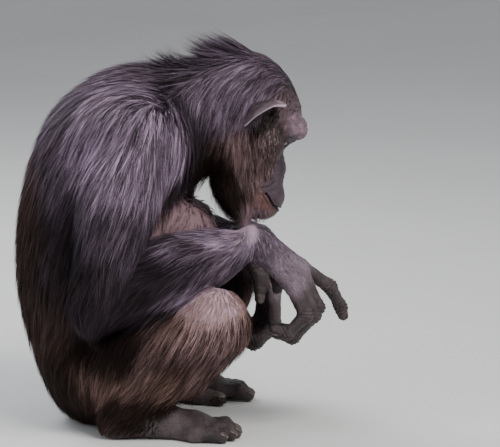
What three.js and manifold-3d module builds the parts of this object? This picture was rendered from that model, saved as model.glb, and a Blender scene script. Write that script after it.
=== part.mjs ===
// A life-size adult chimpanzee that squats on the ground, its chin over its forearms, its forearms
// resting on its knees and both hands hanging, with the right forefinger reaching out.
// Millimetres. +X is the way it faces, +Y its left side, +Z up, and the floor is Z = 0.
import * as THREE from "three";
import { mergeVertices } from "three/addons/utils/BufferGeometryUtils.js";
import Module from "manifold-3d";

const wasm = await Module();
wasm.setup();

const at = (x, y, z) => new THREE.Vector3(x, y, z);

// Driving sizes
const GAP = 0.35; // clear space between two nodes that meet
const FLOOR = 0;
const CORE_SHARE = 0.5; // how much of the coat's depth is solid below the locks
const LOCK_SINK = 6; // how far a lock's root is sunk into the coat's core
const LOCK_THICKNESS = 4; // from a lock's middle to its ridge, at the root
const LOCK_STEPS = 3; // lengths that a lock bends in
const LID_DEPTH = 2.2; // how far the lids stand out of the eye

const HEAD_CENTRE = at(122, 0, 478);
const HEAD_PITCH = 57; // degrees that the head nods forwards
const EYE_RADIUS = 11.5;
const EYE_PLACE = [50, 25, 19]; // ahead, aside and above the head's centre
const EAR_PLACE = [-4, 76, 18];
const MOUTH_HEIGHT = -51; // above the head's centre
const MOUTH_FRONT = 122; // ahead of the head's centre
const MOUTH_SLIT = [26, 46, 2.2]; // half its depth, width and height
const EYE_SLIT = [14, 10.5, 4.6];
const NOSTRIL = [6, 5, 3.6];
const NOSTRIL_PLACE = [100, 8.5, -20];
const EAR_LEAF = [14, 30, 41]; // half its depth, width and height
const EAR_CUP = [13, 24, 35];
const EAR_CUP_AHEAD = 8; // how far ahead of the ear's middle the cup is sunk
const CROWN_HEIGHT = 578; // above the floor
const NAPE = 60; // where the neck meets the head, ahead of the model's centre
const WAIST = 290; // heights at which the trunk is parted
const HIPS = 130;

// Coat depth over the skin, by region
const COAT = { head: 9, neck: 24, torso: 22, upperArm: 18, forearm: 16, thigh: 18, shin: 20 };

// The usual lock of each region: its length, its width at the root, and how far its tip lifts
const LOCK = {
  crown: { length: 56, width: 50, lift: 9 },
  whisker: { length: 60, width: 40, lift: 8 },
  beard: { length: 50, width: 40, lift: 7 },
  nape: { length: 72, width: 58, lift: 12 },
  crest: { length: 46, width: 34, lift: 32 },
  napeTuft: { length: 34, width: 26, lift: 28 },
  back: { length: 88, width: 56, lift: 11 },
  rump: { length: 70, width: 56, lift: 11 },
  upperArm: { length: 90, width: 48, lift: 9 },
  forearm: { length: 72, width: 38, lift: 8 },
  thigh: { length: 80, width: 40, lift: 9 },
  shin: { length: 74, width: 46, lift: 9 },
};

// How finely each form is faceted: rings along its axis, points round it, and rings over each end
const FACETS = {
  head: { along: 10, around: 17, cap: 4 },
  trunk: { along: 10, around: 20, cap: 4 },
  neck: { along: 4, around: 16, cap: 3 },
  limb: { along: 6, around: 12, cap: 3 },
  shin: { along: 5, around: 12, cap: 3 },
  foot: { along: 6, around: 12, cap: 3 },
  hand: { along: 4, around: 14, cap: 3 },
  finger: { along: 5, around: 6, cap: 2 },
  thumb: { along: 4, around: 6, cap: 2 },
  toe: { along: 3, around: 5, cap: 2 },
  bigToe: { along: 3, around: 6, cap: 2 },
};

// Joints, each side on its own because the two hands and feet differ
const RIGHT = {
  shoulder: at(-62, -150, 466),
  elbow: at(-116, -196, 216),
  armRise: at(2, -156, 261),
  wrist: at(124, -110, 298),
  hip: at(-122, -88, 108),
  knee: at(62, -184, 188),
  ankle: at(-66, -150, 56),
  heel: at(-88, -148, 24),
  ball: at(28, -158, 17),
  fingers: {
    index: [at(190, -62, 252), at(238, -46, 217), at(255, -41, 184), at(258, -39, 170)],
    middle: [at(193, -80, 246), at(219, -79, 190), at(187, -81, 153), at(162, -83, 159)],
    ring: [at(188, -98, 238), at(213, -98, 181), at(180, -99, 146), at(156, -100, 153)],
    little: [at(179, -114, 230), at(200, -115, 184), at(173, -115, 156), at(153, -115, 161)],
  },
  thumb: [at(136, -84, 284), at(150, -63, 256), at(156, -57, 232), at(156, -55, 214)],
  toes: {
    second: [at(46, -136, 18), at(76, -134, 19), at(93, -133, 9)],
    third: [at(46, -153, 17), at(78, -154, 19), at(94, -154, 9)],
    fourth: [at(42, -170, 16), at(72, -173, 17), at(87, -175, 8.6)],
    fifth: [at(33, -186, 14.5), at(59, -191, 15), at(73, -194, 8.2)],
  },
  bigToe: [at(-28, -130, 22), at(12, -110, 17), at(46, -96, 11)],
};
const LEFT = {
  shoulder: at(-62, 150, 466),
  elbow: at(-122, 196, 212),
  armRise: at(-8, 156, 250),
  wrist: at(112, 101, 268),
  hip: at(-122, 88, 108),
  knee: at(66, 184, 188),
  ankle: at(-48, 150, 56),
  heel: at(-68, 148, 24),
  ball: at(48, 158, 17),
  fingers: {
    index: [at(152, 62, 197), at(153, 60, 136), at(126, 60, 110), at(103, 61, 119)],
    middle: [at(150, 80, 190), at(149, 80, 127), at(120, 80, 103), at(96, 80, 115)],
    ring: [at(145, 97, 187), at(141, 98, 128), at(113, 98, 106), at(91, 98, 117)],
    little: [at(138, 112, 188), at(132, 114, 139), at(108, 114, 121), at(90, 113, 130)],
  },
  thumb: [at(118, 78, 250), at(128, 58, 222), at(131, 51, 198), at(129, 49, 181)],
  toes: {
    second: [at(66, 136, 18), at(96, 134, 19), at(113, 133, 9)],
    third: [at(66, 153, 17), at(98, 154, 19), at(114, 154, 9)],
    fourth: [at(62, 170, 16), at(92, 173, 17), at(107, 175, 8.6)],
    fifth: [at(53, 186, 14.5), at(79, 191, 15), at(93, 194, 8.2)],
  },
  bigToe: [at(-8, 130, 22), at(32, 110, 17), at(66, 96, 11)],
};

// Materials
const finish = (name, color, roughness) =>
  new THREE.MeshStandardMaterial({ name, color, roughness, metalness: 0 });
const BLACK_COAT = finish("black_coat", 0x2a2430, 0.6);
const BROWN_COAT = finish("brown_coat", 0x35262a, 0.65);
const FACE_SKIN = finish("face_skin", 0x4a3a42, 0.7);
const HAND_SKIN = finish("hand_skin", 0x322a31, 0.6);
const EAR_SKIN = finish("ear_skin", 0x5c4650, 0.65);
const EYE_GLOSS = finish("eye_gloss", 0x1c0f08, 0.15);

// Forms: each is a function that gives the distance from a point to its surface, negative inside

// Flesh along a straight bone, with a radius at each end
function bone(a, b, ra, rb) {
  const [dx, dy, dz] = [b.x - a.x, b.y - a.y, b.z - a.z];
  const squared = dx * dx + dy * dy + dz * dz;
  return (x, y, z) => {
    const [px, py, pz] = [x - a.x, y - a.y, z - a.z];
    const t = Math.min(1, Math.max(0, (px * dx + py * dy + pz * dz) / squared));
    return Math.hypot(px - t * dx, py - t * dy, pz - t * dz) - (ra + t * (rb - ra));
  };
}

// An ellipsoid, leaning forwards by some degrees
function mass(centre, [rx, ry, rz], lean = 0) {
  const [c, s] = [Math.cos(lean * THREE.MathUtils.DEG2RAD), Math.sin(lean * THREE.MathUtils.DEG2RAD)];
  return (x, y, z) => {
    const [px, py, pz] = [x - centre.x, y - centre.y, z - centre.z];
    const [lx, lz] = [px * c - pz * s, px * s + pz * c];
    const k0 = Math.hypot(lx / rx, py / ry, lz / rz);
    const k1 = Math.hypot(lx / (rx * rx), py / (ry * ry), lz / (rz * rz));
    return k1 < 1e-9 ? -Math.min(rx, ry, rz) : (k0 * (k0 - 1)) / k1;
  };
}

// Forms grown together, with a fillet of about a given width
function grown(fillet, ...forms) {
  return (x, y, z) => {
    let d = forms[0](x, y, z);
    for (let i = 1; i < forms.length; i++) {
      const e = forms[i](x, y, z);
      const h = Math.max(fillet - Math.abs(d - e), 0) / fillet;
      d = Math.min(d, e) - h * h * fillet * 0.25;
    }
    return d;
  };
}

const bothSides = (form) => (x, y, z) => form(x, Math.abs(y), z);
const widened = (form, share) => (x, y, z) => form(x, y / share, z);

const joint = (a, b, t) => a.clone().lerp(b, t);

// A chain of bones through several points
const chain = (fillet, points, radii) =>
  grown(fillet, ...points.slice(1).map((p, i) => bone(points[i], p, radii[i], radii[i + 1])));

// The head's own frame: ahead, aside and above its centre
const nod = HEAD_PITCH * THREE.MathUtils.DEG2RAD;
const [nodCos, nodSin] = [Math.cos(nod), Math.sin(nod)];
const headPoint = (ahead, aside, above) =>
  at(
    HEAD_CENTRE.x + ahead * nodCos + above * nodSin,
    HEAD_CENTRE.y + aside,
    HEAD_CENTRE.z - ahead * nodSin + above * nodCos,
  );
const inHead = (form) => (x, y, z) => {
  const [px, pz] = [x - HEAD_CENTRE.x, z - HEAD_CENTRE.z];
  return form(px * nodCos - pz * nodSin, y - HEAD_CENTRE.y, px * nodSin + pz * nodCos);
};

const braincase = mass(at(-18, 0, 11), [75, 61, 64]);
const forehead = mass(at(22, 0, 26), [34, 40, 38]);
const [browMiddle, browArch, browEnd] = [at(55, 0, 44), at(54, 27, 45), at(37, 53, 34)];
const browBar = bothSides(grown(8, bone(browMiddle, browArch, 13, 13.5), bone(browArch, browEnd, 13.5, 9.5)));
const muzzle = widened(bone(at(30, 0, -18), at(108, 0, -56), 45, 32), 1.12);
const upperLip = mass(at(119, 0, -45), [21, 38, 17]);
const lowerJaw = widened(bone(at(34, 0, -62), at(116, 0, -73), 34, 27), 1.16);
const lowerLip = mass(at(130, 0, -63), [17, 32, 13]);
const nose = mass(at(86, 0, -13), [15, 18, 10]);
const cheekBone = bothSides(mass(at(38, 46, 2), [27, 19, 19]));
const underEye = bothSides(mass(at(52, 32, -8), [20, 20, 17]));
const jawMuscle = bothSides(mass(at(18, 42, -40), [34, 20, 40]));
const headForm = inHead(
  grown(
    14,
    ...[braincase, forehead, muzzle, lowerJaw, jawMuscle, cheekBone, underEye, browBar, nose, upperLip, lowerLip],
  ),
);
const headHair = inHead(
  bothSides(
    grown(
      30,
      mass(at(-36, 0, 6), [76, 75, 71]),
      mass(at(14, 42, -46), [38, 32, 54]),
      mass(at(84, 18, -96), [56, 36, 29]),
    ),
  ),
);
const neckForm = grown(
  40,
  bone(at(-50, 0, 468), headPoint(-40, 0, -10), 78, 56),
  bone(at(-30, 0, 430), headPoint(20, 0, -62), 52, 34),
);
const trunkForm = grown(
  60,
  mass(at(-112, 0, 92), [84, 126, 96]),
  mass(at(-112, 0, 215), [122, 148, 140]),
  mass(at(-114, 0, 350), [112, 138, 140], 17),
  mass(at(-82, 0, 432), [98, 142, 92], 22),
  bothSides(mass(at(-62, 100, 452), [62, 62, 62])),
);
const breast = bothSides(mass(at(10, 46, 294), [52, 48, 50]));
const upperArmForm = (side) =>
  grown(
    30,
    bone(side.shoulder, side.elbow, 48, 34),
    mass(side.shoulder.clone().lerp(side.elbow, 0.42), [48, 44, 84], 13),
  );
const forearmForm = ({ elbow, armRise, wrist }) =>
  chain(40, [elbow, armRise, joint(armRise, wrist, 0.45), wrist], [36, 42, 31, 20]);
const forearmFringe = ({ elbow, armRise, wrist }) => {
  const belowRise = armRise.clone().add(at(0, 0, -12));
  return grown(30, bone(elbow, belowRise, 46, 48), bone(armRise, wrist, 44, 20));
};
const thighForm = (side) => chain(30, [side.hip, joint(side.hip, side.knee, 0.5), side.knee], [70, 60, 46]);
const shinForm = ({ knee, ankle }) => {
  const calf = joint(knee, ankle, 0.42).add(at(-14, 0, -4));
  return grown(30, bone(knee, ankle, 44, 27), mass(calf, [38, 38, 62], 28));
};
const shinFringe = ({ knee, ankle }) =>
  bone(knee.clone().add(at(6, 0, -30)), ankle.clone().add(at(94, -2, 10)), 46, 20);
const handForm = (side) => {
  const palm = Object.values(side.fingers).map(([knuckle]) => bone(side.wrist, knuckle, 19, 13.5));
  return grown(14, ...palm, bone(side.wrist, side.thumb[1], 20, 12));
};
const THUMB_RADII = [13, 11, 9.5, 8];
const BIG_TOE_RADII = [17, 14, 11];
const FINGER_RADII = [13.5, 11.5, 10.5, 8.5];
const TOE_RADII = [12.5, 10.5, 8.5];
const footForm = (side) =>
  grown(
    20,
    bone(side.ankle, side.heel, 27, 23),
    bone(side.heel, side.ball, 23, 17),
    bone(side.ankle, side.ball, 26, 18),
    ...Object.values(side.toes).map(([root]) => bone(side.ball, root, 16, 13)),
    bone(side.ankle, side.bigToe[0], 24, 17),
  );

// Where a ray from a point inside leaves a form, raised by a depth
function rayEnd(form, depth, from, { x, y, z }) {
  const [stride, longest, halvings] = [4, 400, 14];
  const value = (r) => form(from.x + x * r, from.y + y * r, from.z + z * r) - depth;
  let [near, far] = [0, stride];
  while (value(far) < 0 && far < longest) [near, far] = [far, far + stride];
  for (let i = 0; i < halvings; i++) {
    const middle = (near + far) / 2;
    if (value(middle) < 0) near = middle;
    else far = middle;
  }
  return from.clone().addScaledVector(at(x, y, z), (near + far) / 2);
}

// One ray from an axis: how far along it starts, its turn about the axis, and its tilt towards the end
function rayAt(curve, t, turn, tilt, upright) {
  const [from, ahead] = [curve.getPointAt(t), curve.getTangentAt(t)];
  const aside = new THREE.Vector3().crossVectors(upright, ahead).normalize();
  const above = new THREE.Vector3().crossVectors(ahead, aside);
  const out = aside.multiplyScalar(Math.cos(turn)).addScaledVector(above, Math.sin(turn));
  return { from, out: out.multiplyScalar(Math.cos(tilt)).addScaledVector(ahead, Math.sin(tilt)) };
}

// The rays from an axis: rings square to it along its length, and rings that close over each end
function raysFrom(axis, along, around, cap, upright) {
  const curve = new THREE.CatmullRomCurve3(axis);
  const turns = Array.from({ length: around }, (_, i) => ((i + 0.5) / around) * Math.PI * 2);
  const ring = (t, tilt) => turns.map((turn) => rayAt(curve, t, turn, tilt, upright));
  const tilts = Array.from({ length: cap - 1 }, (_, i) => ((i + 1) / cap) * (Math.PI / 2));
  const rings = [
    ...tilts.toReversed().map((tilt) => ring(0, -tilt)),
    ...Array.from({ length: along + 1 }, (_, i) => ring(i / along, 0)),
    ...tilts.map((tilt) => ring(1, tilt)),
  ];
  const pole = (t, sense) => ({
    from: curve.getPointAt(t),
    out: curve.getTangentAt(t).multiplyScalar(sense),
  });
  return { rings, first: pole(0, -1), last: pole(1, 1) };
}

// A closed geometry from rings of points, each a loop, with one point at each end
function closeRings(first, rings, last) {
  const points = [first, ...rings.flat(), last];
  const around = rings[0].length;
  const index = [];
  const corner = (ring, i) => 1 + ring * around + (i % around);
  const [end, top] = [points.length - 1, rings.length - 1];
  for (let i = 0; i < around; i++) {
    index.push(0, corner(0, i + 1), corner(0, i));
    index.push(end, corner(top, i), corner(top, i + 1));
    for (let ring = 0; ring < top; ring++) {
      const [a, b] = [corner(ring, i), corner(ring, i + 1)];
      const [c, d] = [corner(ring + 1, i), corner(ring + 1, i + 1)];
      index.push(a, b, d, a, d, c);
    }
  }
  const geometry = new THREE.BufferGeometry().setFromPoints(points);
  geometry.setIndex(index);
  return geometry;
}

// A three.js geometry as a solid that can be joined and cut, and back again
function solidOf(geometry) {
  const bare = geometry.index ? geometry.toNonIndexed() : geometry.clone();
  for (const name of ["normal", "uv"]) bare.deleteAttribute(name);
  const merged = mergeVertices(bare, 1e-3);
  const solid = new wasm.Manifold(
    new wasm.Mesh({
      numProp: 3,
      vertProperties: new Float32Array(merged.attributes.position.array),
      triVerts: new Uint32Array(merged.index.array),
    }),
  );
  return solid.volume() < 0 ? solidOf(turnedInsideOut(merged)) : solid;
}

function turnedInsideOut(geometry) {
  const index = Array.from(geometry.index.array);
  for (let i = 0; i < index.length; i += 3) [index[i + 1], index[i + 2]] = [index[i + 2], index[i + 1]];
  return geometry.clone().setIndex(index);
}

function geometryOf(solid) {
  const { numProp, vertProperties, triVerts } = solid.getMesh();
  const position = new Float32Array((vertProperties.length / numProp) * 3);
  for (let i = 0; i < position.length / 3; i++)
    position.set(vertProperties.subarray(i * numProp, i * numProp + 3), i * 3);
  const geometry = new THREE.BufferGeometry();
  geometry.setAttribute("position", new THREE.BufferAttribute(position, 3));
  geometry.setIndex(new THREE.BufferAttribute(new Uint32Array(triVerts), 1));
  geometry.computeVertexNormals();
  return geometry;
}

// The solid of a form, seen from an axis inside it
function cast(form, depth, axis, { along, around, cap }, upright) {
  const { rings, first, last } = raysFrom(axis, along, around, cap, upright);
  const end = ({ from, out }) => rayEnd(form, depth, from, out);
  return solidOf(closeRings(end(first), rings.map((ring) => ring.map(end)), end(last)));
}

// An ellipsoid as a solid, turned about its side-to-side axis, with some number of facets round it
function ball([rx, ry, rz], place, turn, fine) {
  const geometry = new THREE.SphereGeometry(1, fine, Math.round(fine * 0.7));
  geometry.scale(rx, ry, rz).rotateY(turn).translate(place.x, place.y, place.z);
  return solidOf(geometry);
}

const ballRadii = (radius) => [radius, radius, radius];
const mirrored = ([ahead, aside, above], sense) => [ahead, aside * sense, above];
const raised = (form, depth) => (x, y, z) => form(x, y, z) - depth;

// The core of a furred part: its flesh raised by half the coat, with any fringe that hangs from it. A
// fringe form reaches to the tips of the hair, so its core lies below it.
const furred = (region, form, ...fringes) => {
  const belowTips = (CORE_SHARE - 1) * COAT[region];
  return grown(20, raised(form, COAT[region] * CORE_SHARE), ...fringes.map((f) => raised(f, belowTips)));
};

const model = new THREE.Group();
model.name = "chimpanzee";
const nodes = [];

// Adds a node: its core is cut clear of the cores before it, and its locks clear of everything else
function addNode(name, material, solid, cutter = solid, locks = null) {
  let core = solid;
  for (const other of nodes) core = cutClear(core, other.cutter);
  nodes.push({ name, material, core, cutter, locks });
}

const cutClear = (solid, cutter) => (boxesMeet(solid, cutter) ? solid.subtract(cutter) : solid);

const largest = (solid) => solid.decompose().sort((a, b) => b.volume() - a.volume())[0];

function boxesMeet(one, other) {
  const [a, b] = [one.boundingBox(), other.boundingBox()];
  return [0, 1, 2].every((i) => a.min[i] <= b.max[i] && b.min[i] <= a.max[i]);
}

// Adds the slice of a form between two planes, each given by a direction and a distance along it
function addSlice(name, material, solid, cutter, planes, locks) {
  let [body, wider] = [solid, cutter];
  for (const [direction, distance] of planes) {
    body = body.trimByPlane(direction, distance + GAP / 2);
    wider = wider.trimByPlane(direction, distance);
  }
  addNode(name, material, body, wider, locks);
}

// A seeded run of numbers between -1 and 1, so that every build has the same locks
function seeded(seed) {
  let state = seed;
  return () => {
    state = (state * 48271) % 2147483647;
    return (state / 2147483647) * 2 - 1;
  };
}

// The outward direction of a form's surface
function outward(form, p) {
  const e = 0.5;
  const slope = (dx, dy, dz) => form(p.x + dx, p.y + dy, p.z + dz) - form(p.x - dx, p.y - dy, p.z - dz);
  return at(slope(e, 0, 0), slope(0, e, 0), slope(0, 0, e)).normalize();
}

// A lock of hair: a flat tapered blade that leaves the core at its root and follows the lie of the coat
function lock(form, root, lie, { length, width, lift, curl }, growth) {
  const steps = LOCK_STEPS;
  const place = root.clone();
  const rings = [];
  for (let step = 0; step <= steps; step++) {
    const t = step / steps;
    const out = outward(form, place);
    place.addScaledVector(out, -form(place.x, place.y, place.z));
    const ahead = lie(place).projectOnPlane(out).normalize();
    const aside = new THREE.Vector3().crossVectors(out, ahead);
    const height = Math.sqrt(t) * (lift + LOCK_SINK) - LOCK_SINK;
    const centre = place.clone().addScaledVector(out, height);
    const half = (width / 2) * (1 - 0.55 * t) + growth;
    const thick = LOCK_THICKNESS * (1 - 0.5 * t) + growth;
    if (step < steps)
      rings.push([
        centre.clone().addScaledVector(aside, half),
        centre.clone().addScaledVector(out, thick),
        centre.clone().addScaledVector(aside, -half),
        centre.clone().addScaledVector(out, -thick),
      ]);
    else rings.push(centre.addScaledVector(ahead, growth));
    place.addScaledVector(ahead, length / steps).addScaledVector(aside, curl * t);
  }
  const tip = rings.pop();
  const [a, , c] = rings[0];
  const heel = a.clone().lerp(c, 0.5).addScaledVector(lie(root).normalize(), -1 - growth);
  return solidOf(closeRings(heel, rings, tip));
}

const mix = ([a, b], t) => a + (b - a) * t;

// Where the locks of a node grow, in staggered rows round its axis: a span from 0 to 1 is the length of
// the axis, and what lies below 0 or above 1 is the round of its ends
function lockPlaces({ rows, each, span, turns }, random) {
  const places = [];
  for (let row = 0; row < rows; row++)
    for (let i = 0; i < each; i++) {
      const place = mix(span, (row + 0.5 + random() * 0.18) / rows);
      const turn = mix(turns, (i + 0.25 + (row % 2) * 0.5 + random() * 0.15) / each);
      places.push({ place, turn, stretch: 1 + 0.15 * random(), curl: 5 * random() });
    }
  return places;
}

// All the locks of a node as one solid, at their own size or grown by a gap
function lockField(form, axis, upright, fields, seed) {
  return (growth) => {
    const random = seeded(seed);
    const curve = new THREE.CatmullRomCurve3(axis);
    let all = null;
    for (const field of fields)
      for (const { place, turn, stretch, curl } of lockPlaces(field, random)) {
        const t = THREE.MathUtils.clamp(place, 0, 1);
        const tilt = (place - t) * (Math.PI / 2);
        const { from, out } = rayAt(curve, t, turn * 2 * Math.PI, tilt, upright);
        const shape = { ...field.lock, length: field.lock.length * stretch, curl };
        const blade = lock(form, rayEnd(form, 0, from, out), field.lie, shape, growth);
        all = all ? all.add(blade) : blade;
      }
    return all;
  };
}

const sides = [
  ["right", RIGHT, -1],
  ["left", LEFT, 1],
];

// Eyes, then the head round them with lids, nostrils and the line of the mouth
for (const [name, , sense] of sides) {
  const place = headPoint(...mirrored(EYE_PLACE, sense));
  const eye = (growth) => ball(ballRadii(EYE_RADIUS + growth), place, 0, 9);
  addNode(`eye_${name}`, EYE_GLOSS, eye(0), eye(GAP));
}

const headAxis = [headPoint(-20, 0, 6), headPoint(30, 0, -22), headPoint(104, 0, -56)];
const headUpright = headPoint(0, 0, 1).sub(HEAD_CENTRE);
const headShape = grown(8, headForm, raised(headHair, (CORE_SHARE - 1) * COAT.head));
const headSolid = (growth) => cast(headShape, growth, headAxis, FACETS.head, headUpright);

function faceSolid() {
  let face = headSolid(0);
  for (const sense of [-1, 1]) {
    const [ahead, aside, above] = mirrored(EYE_PLACE, sense);
    face = face.add(ball(ballRadii(EYE_RADIUS + LID_DEPTH), headPoint(ahead, aside, above), nod, 9));
    const slit = headPoint(ahead + EYE_SLIT[0], aside, above - 1);
    face = face.subtract(ball(EYE_SLIT, slit, nod, 10));
    face = face.subtract(ball(NOSTRIL, headPoint(...mirrored(NOSTRIL_PLACE, sense)), nod + 0.9, 8));
  }
  return face.subtract(ball(MOUTH_SLIT, headPoint(MOUTH_FRONT, 0, MOUTH_HEIGHT), nod, 12));
}

const face = faceSolid();
const headCutter = headSolid(GAP);
const mouthLevel = headUpright.dot(headPoint(0, 0, MOUTH_HEIGHT));
const aboveMouth = [headUpright.toArray(), mouthLevel];
const belowMouth = [headUpright.clone().negate().toArray(), -mouthLevel];
const beforeNape = [[1, 0, 0], NAPE];
const behindNape = [[-1, 0, 0], -NAPE];
const crownLie = ({ z }) => at(-1, 0, 0.25 - (CROWN_HEIGHT - z) * 0.02);
const hang = () => at(-0.25, 0, -1);
const crownLocks = [
  { rows: 2, each: 3, span: [-0.72, -0.12], turns: [0.02, 0.48], lie: crownLie, lock: LOCK.crown },
  { rows: 2, each: 1, span: [0.1, 0.5], turns: [-0.1, -0.02], lie: hang, lock: LOCK.whisker },
  { rows: 2, each: 1, span: [0.1, 0.5], turns: [0.52, 0.6], lie: hang, lock: LOCK.whisker },
];
const beardLocks = [{ rows: 1, each: 4, span: [0.3, 0.6], turns: [0.55, 0.95], lie: hang, lock: LOCK.beard }];
const headLocks = (fields, seed) => lockField(headShape, headAxis, headUpright, fields, seed);
addSlice("head", FACE_SKIN, face, headCutter, [aboveMouth, beforeNape], headLocks(crownLocks, 11));
addSlice("lower_jaw", FACE_SKIN, face, headCutter, [belowMouth, beforeNape], headLocks(beardLocks, 12));

// Ears: a leaf that stands out from the head, hollowed to a cup with a rolled rim
for (const [name, , sense] of sides) {
  const [ahead, aside, above] = mirrored(EAR_PLACE, sense);
  const place = headPoint(ahead, aside, above);
  const ear = (growth) => ball(EAR_LEAF.map((radius) => radius + growth), place, nod, 8);
  const cup = ball(EAR_CUP, headPoint(ahead + EAR_CUP_AHEAD, aside, above), nod, 8);
  addNode(`ear_${name}`, EAR_SKIN, ear(0).subtract(cup), ear(GAP));
}

// The trunk is one form, parted across at the waist and above the hips
const [forwards, upwards] = [at(1, 0, 0), at(0, 0, 1)];
const [up, down] = [upwards.toArray(), [0, 0, -1]];
const trunkAxis = [at(-115, 0, 70), at(-112, 0, 210), at(-92, 0, 360), at(-78, 0, 450)];
const trunkShape = grown(30, furred("torso", trunkForm), breast);
const trunkSolid = (growth) => cast(trunkShape, growth, trunkAxis, FACETS.trunk, forwards);
const trunkLocks = (seed, field) =>
  lockField(trunkShape, trunkAxis, forwards, [{ ...field, lie: backLie }], seed);
const backLie = ({ z }) => at(-0.25 - Math.max(0, z - 430) * 0.02, 0, -1);
const trunk = trunkSolid(0);
const trunkCutter = trunkSolid(GAP);
const chestLocks = { rows: 3, each: 6, span: [0.68, 1.55], turns: [0.48, 1.02], lock: LOCK.back };
const bellyLocks = { rows: 2, each: 7, span: [0.26, 0.6], turns: [0.5, 1.0], lock: LOCK.back };
const rumpLocks = { rows: 1, each: 7, span: [0.06, 0.14], turns: [0.5, 1.0], lock: LOCK.rump };
const aboveWaist = [up, WAIST];
const belowWaist = [down, -WAIST];
const aboveHips = [up, HIPS];
const belowHips = [down, -HIPS];
const onFloor = [up, FLOOR - GAP / 2];
addSlice("chest", BLACK_COAT, trunk, trunkCutter, [aboveWaist], trunkLocks(21, chestLocks));
addSlice("belly", BLACK_COAT, trunk, trunkCutter, [belowWaist, aboveHips], trunkLocks(22, bellyLocks));
addSlice("rump", BROWN_COAT, trunk, trunkCutter, [belowHips, onFloor], trunkLocks(23, rumpLocks));

// The neck, with the locks of the nape and the crest that stands up behind the head
const neckAxis = [at(-45, 0, 478), at(10, 0, 478), headPoint(-30, 0, -20)];
const neckShape = furred("neck", neckForm);
const neckSolid = (growth) => cast(neckShape, growth, neckAxis, FACETS.neck, upwards);
const neckLie = ({ z }) => at(-1, 0, -0.2 - Math.max(0, 540 - z) * 0.02);
const neckFields = [
  { rows: 2, each: 4, span: [0.25, 0.95], turns: [-0.08, 0.58], lie: neckLie, lock: LOCK.nape },
  { rows: 1, each: 2, span: [0.9, 0.95], turns: [0.19, 0.31], lie: neckLie, lock: LOCK.crest },
  { rows: 1, each: 1, span: [0.42, 0.46], turns: [0.23, 0.27], lie: neckLie, lock: LOCK.napeTuft },
];
const neckLocks = lockField(neckShape, neckAxis, upwards, neckFields, 31);
addSlice("neck", BLACK_COAT, neckSolid(0), neckSolid(GAP), [behindNape], neckLocks);

// A limb's node from its form, cut off square at any planes and at the floor
function addLimb(name, material, form, axis, facets, upright, planes = [], field = null) {
  const solid = (growth) => cast(form, growth, axis, facets, upright).trimByPlane(up, FLOOR);
  const locks = field && lockField(form, axis, upright, [field], 100 + nodes.length);
  addSlice(name, material, solid(0), solid(GAP), planes, locks);
}

// The plane across a bend, from which the part before it lies one way and the part after it the other
function bendPlane(before, bend, after) {
  const [inwards, outwards] = [bend.clone().sub(before).normalize(), after.clone().sub(bend).normalize()];
  const across = inwards.add(outwards).normalize();
  const distance = across.dot(bend);
  return { before: [across.clone().negate().toArray(), -distance], after: [across.toArray(), distance] };
}

// Locks grow on the outer side of a limb: the turns are measured from the body's left
const outerTurns = (sense, [from, to]) => (sense > 0 ? [from, to] : [0.5 - to, 0.5 - from]);
const outerLocks = (sense, turns, lie, field) => ({
  ...field,
  turns: outerTurns(sense, turns),
  lie: () => lie.clone(),
});

function addArm(name, side, sense) {
  const { shoulder, elbow, armRise, wrist, fingers, thumb } = side;
  const atElbow = bendPlane(shoulder, elbow, armRise);
  const atWrist = bendPlane(armRise, wrist, fingers.middle[0]);
  const palmAxis = [wrist, joint(wrist, fingers.middle[0], 0.85)];
  const acrossPalm = at(1, 0, 1);
  addLimb(`hand_${name}`, HAND_SKIN, handForm(side), palmAxis, FACETS.hand, acrossPalm, [atWrist.after]);
  const acrossFinger = at(0, 1, 0);
  for (const [finger, points] of Object.entries(fingers)) {
    const form = chain(6, points, FINGER_RADII);
    addLimb(`finger_${finger}_${name}`, HAND_SKIN, form, points, FACETS.finger, acrossFinger);
  }
  addLimb(`thumb_${name}`, HAND_SKIN, chain(6, thumb, THUMB_RADII), thumb, FACETS.thumb, acrossFinger);
  const forearm = furred("forearm", forearmForm(side), forearmFringe(side));
  const foreAxis = [elbow, armRise, joint(armRise, wrist, 0.8)];
  const foreEnds = [atElbow.after, atWrist.before];
  const towardsElbow = at(-1, 0, -0.75);
  const forearmField = { rows: 2, each: 3, span: [0.15, 0.9], lock: LOCK.forearm };
  const foreLocks = outerLocks(sense, [-0.22, 0.18], towardsElbow, forearmField);
  addLimb(`forearm_${name}`, BLACK_COAT, forearm, foreAxis, FACETS.limb, upwards, foreEnds, foreLocks);
  const upperArm = furred("upperArm", upperArmForm(side));
  const armAxis = [shoulder, joint(shoulder, elbow, 0.9)];
  const upperArmField = { rows: 3, each: 3, span: [-0.2, 1], lock: LOCK.upperArm };
  const armLocks = outerLocks(sense, [-0.26, 0.26], at(-0.35, 0, -1), upperArmField);
  const armEnds = [atElbow.before];
  addLimb(`upper_arm_${name}`, BLACK_COAT, upperArm, armAxis, FACETS.limb, forwards, armEnds, armLocks);
}

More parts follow.
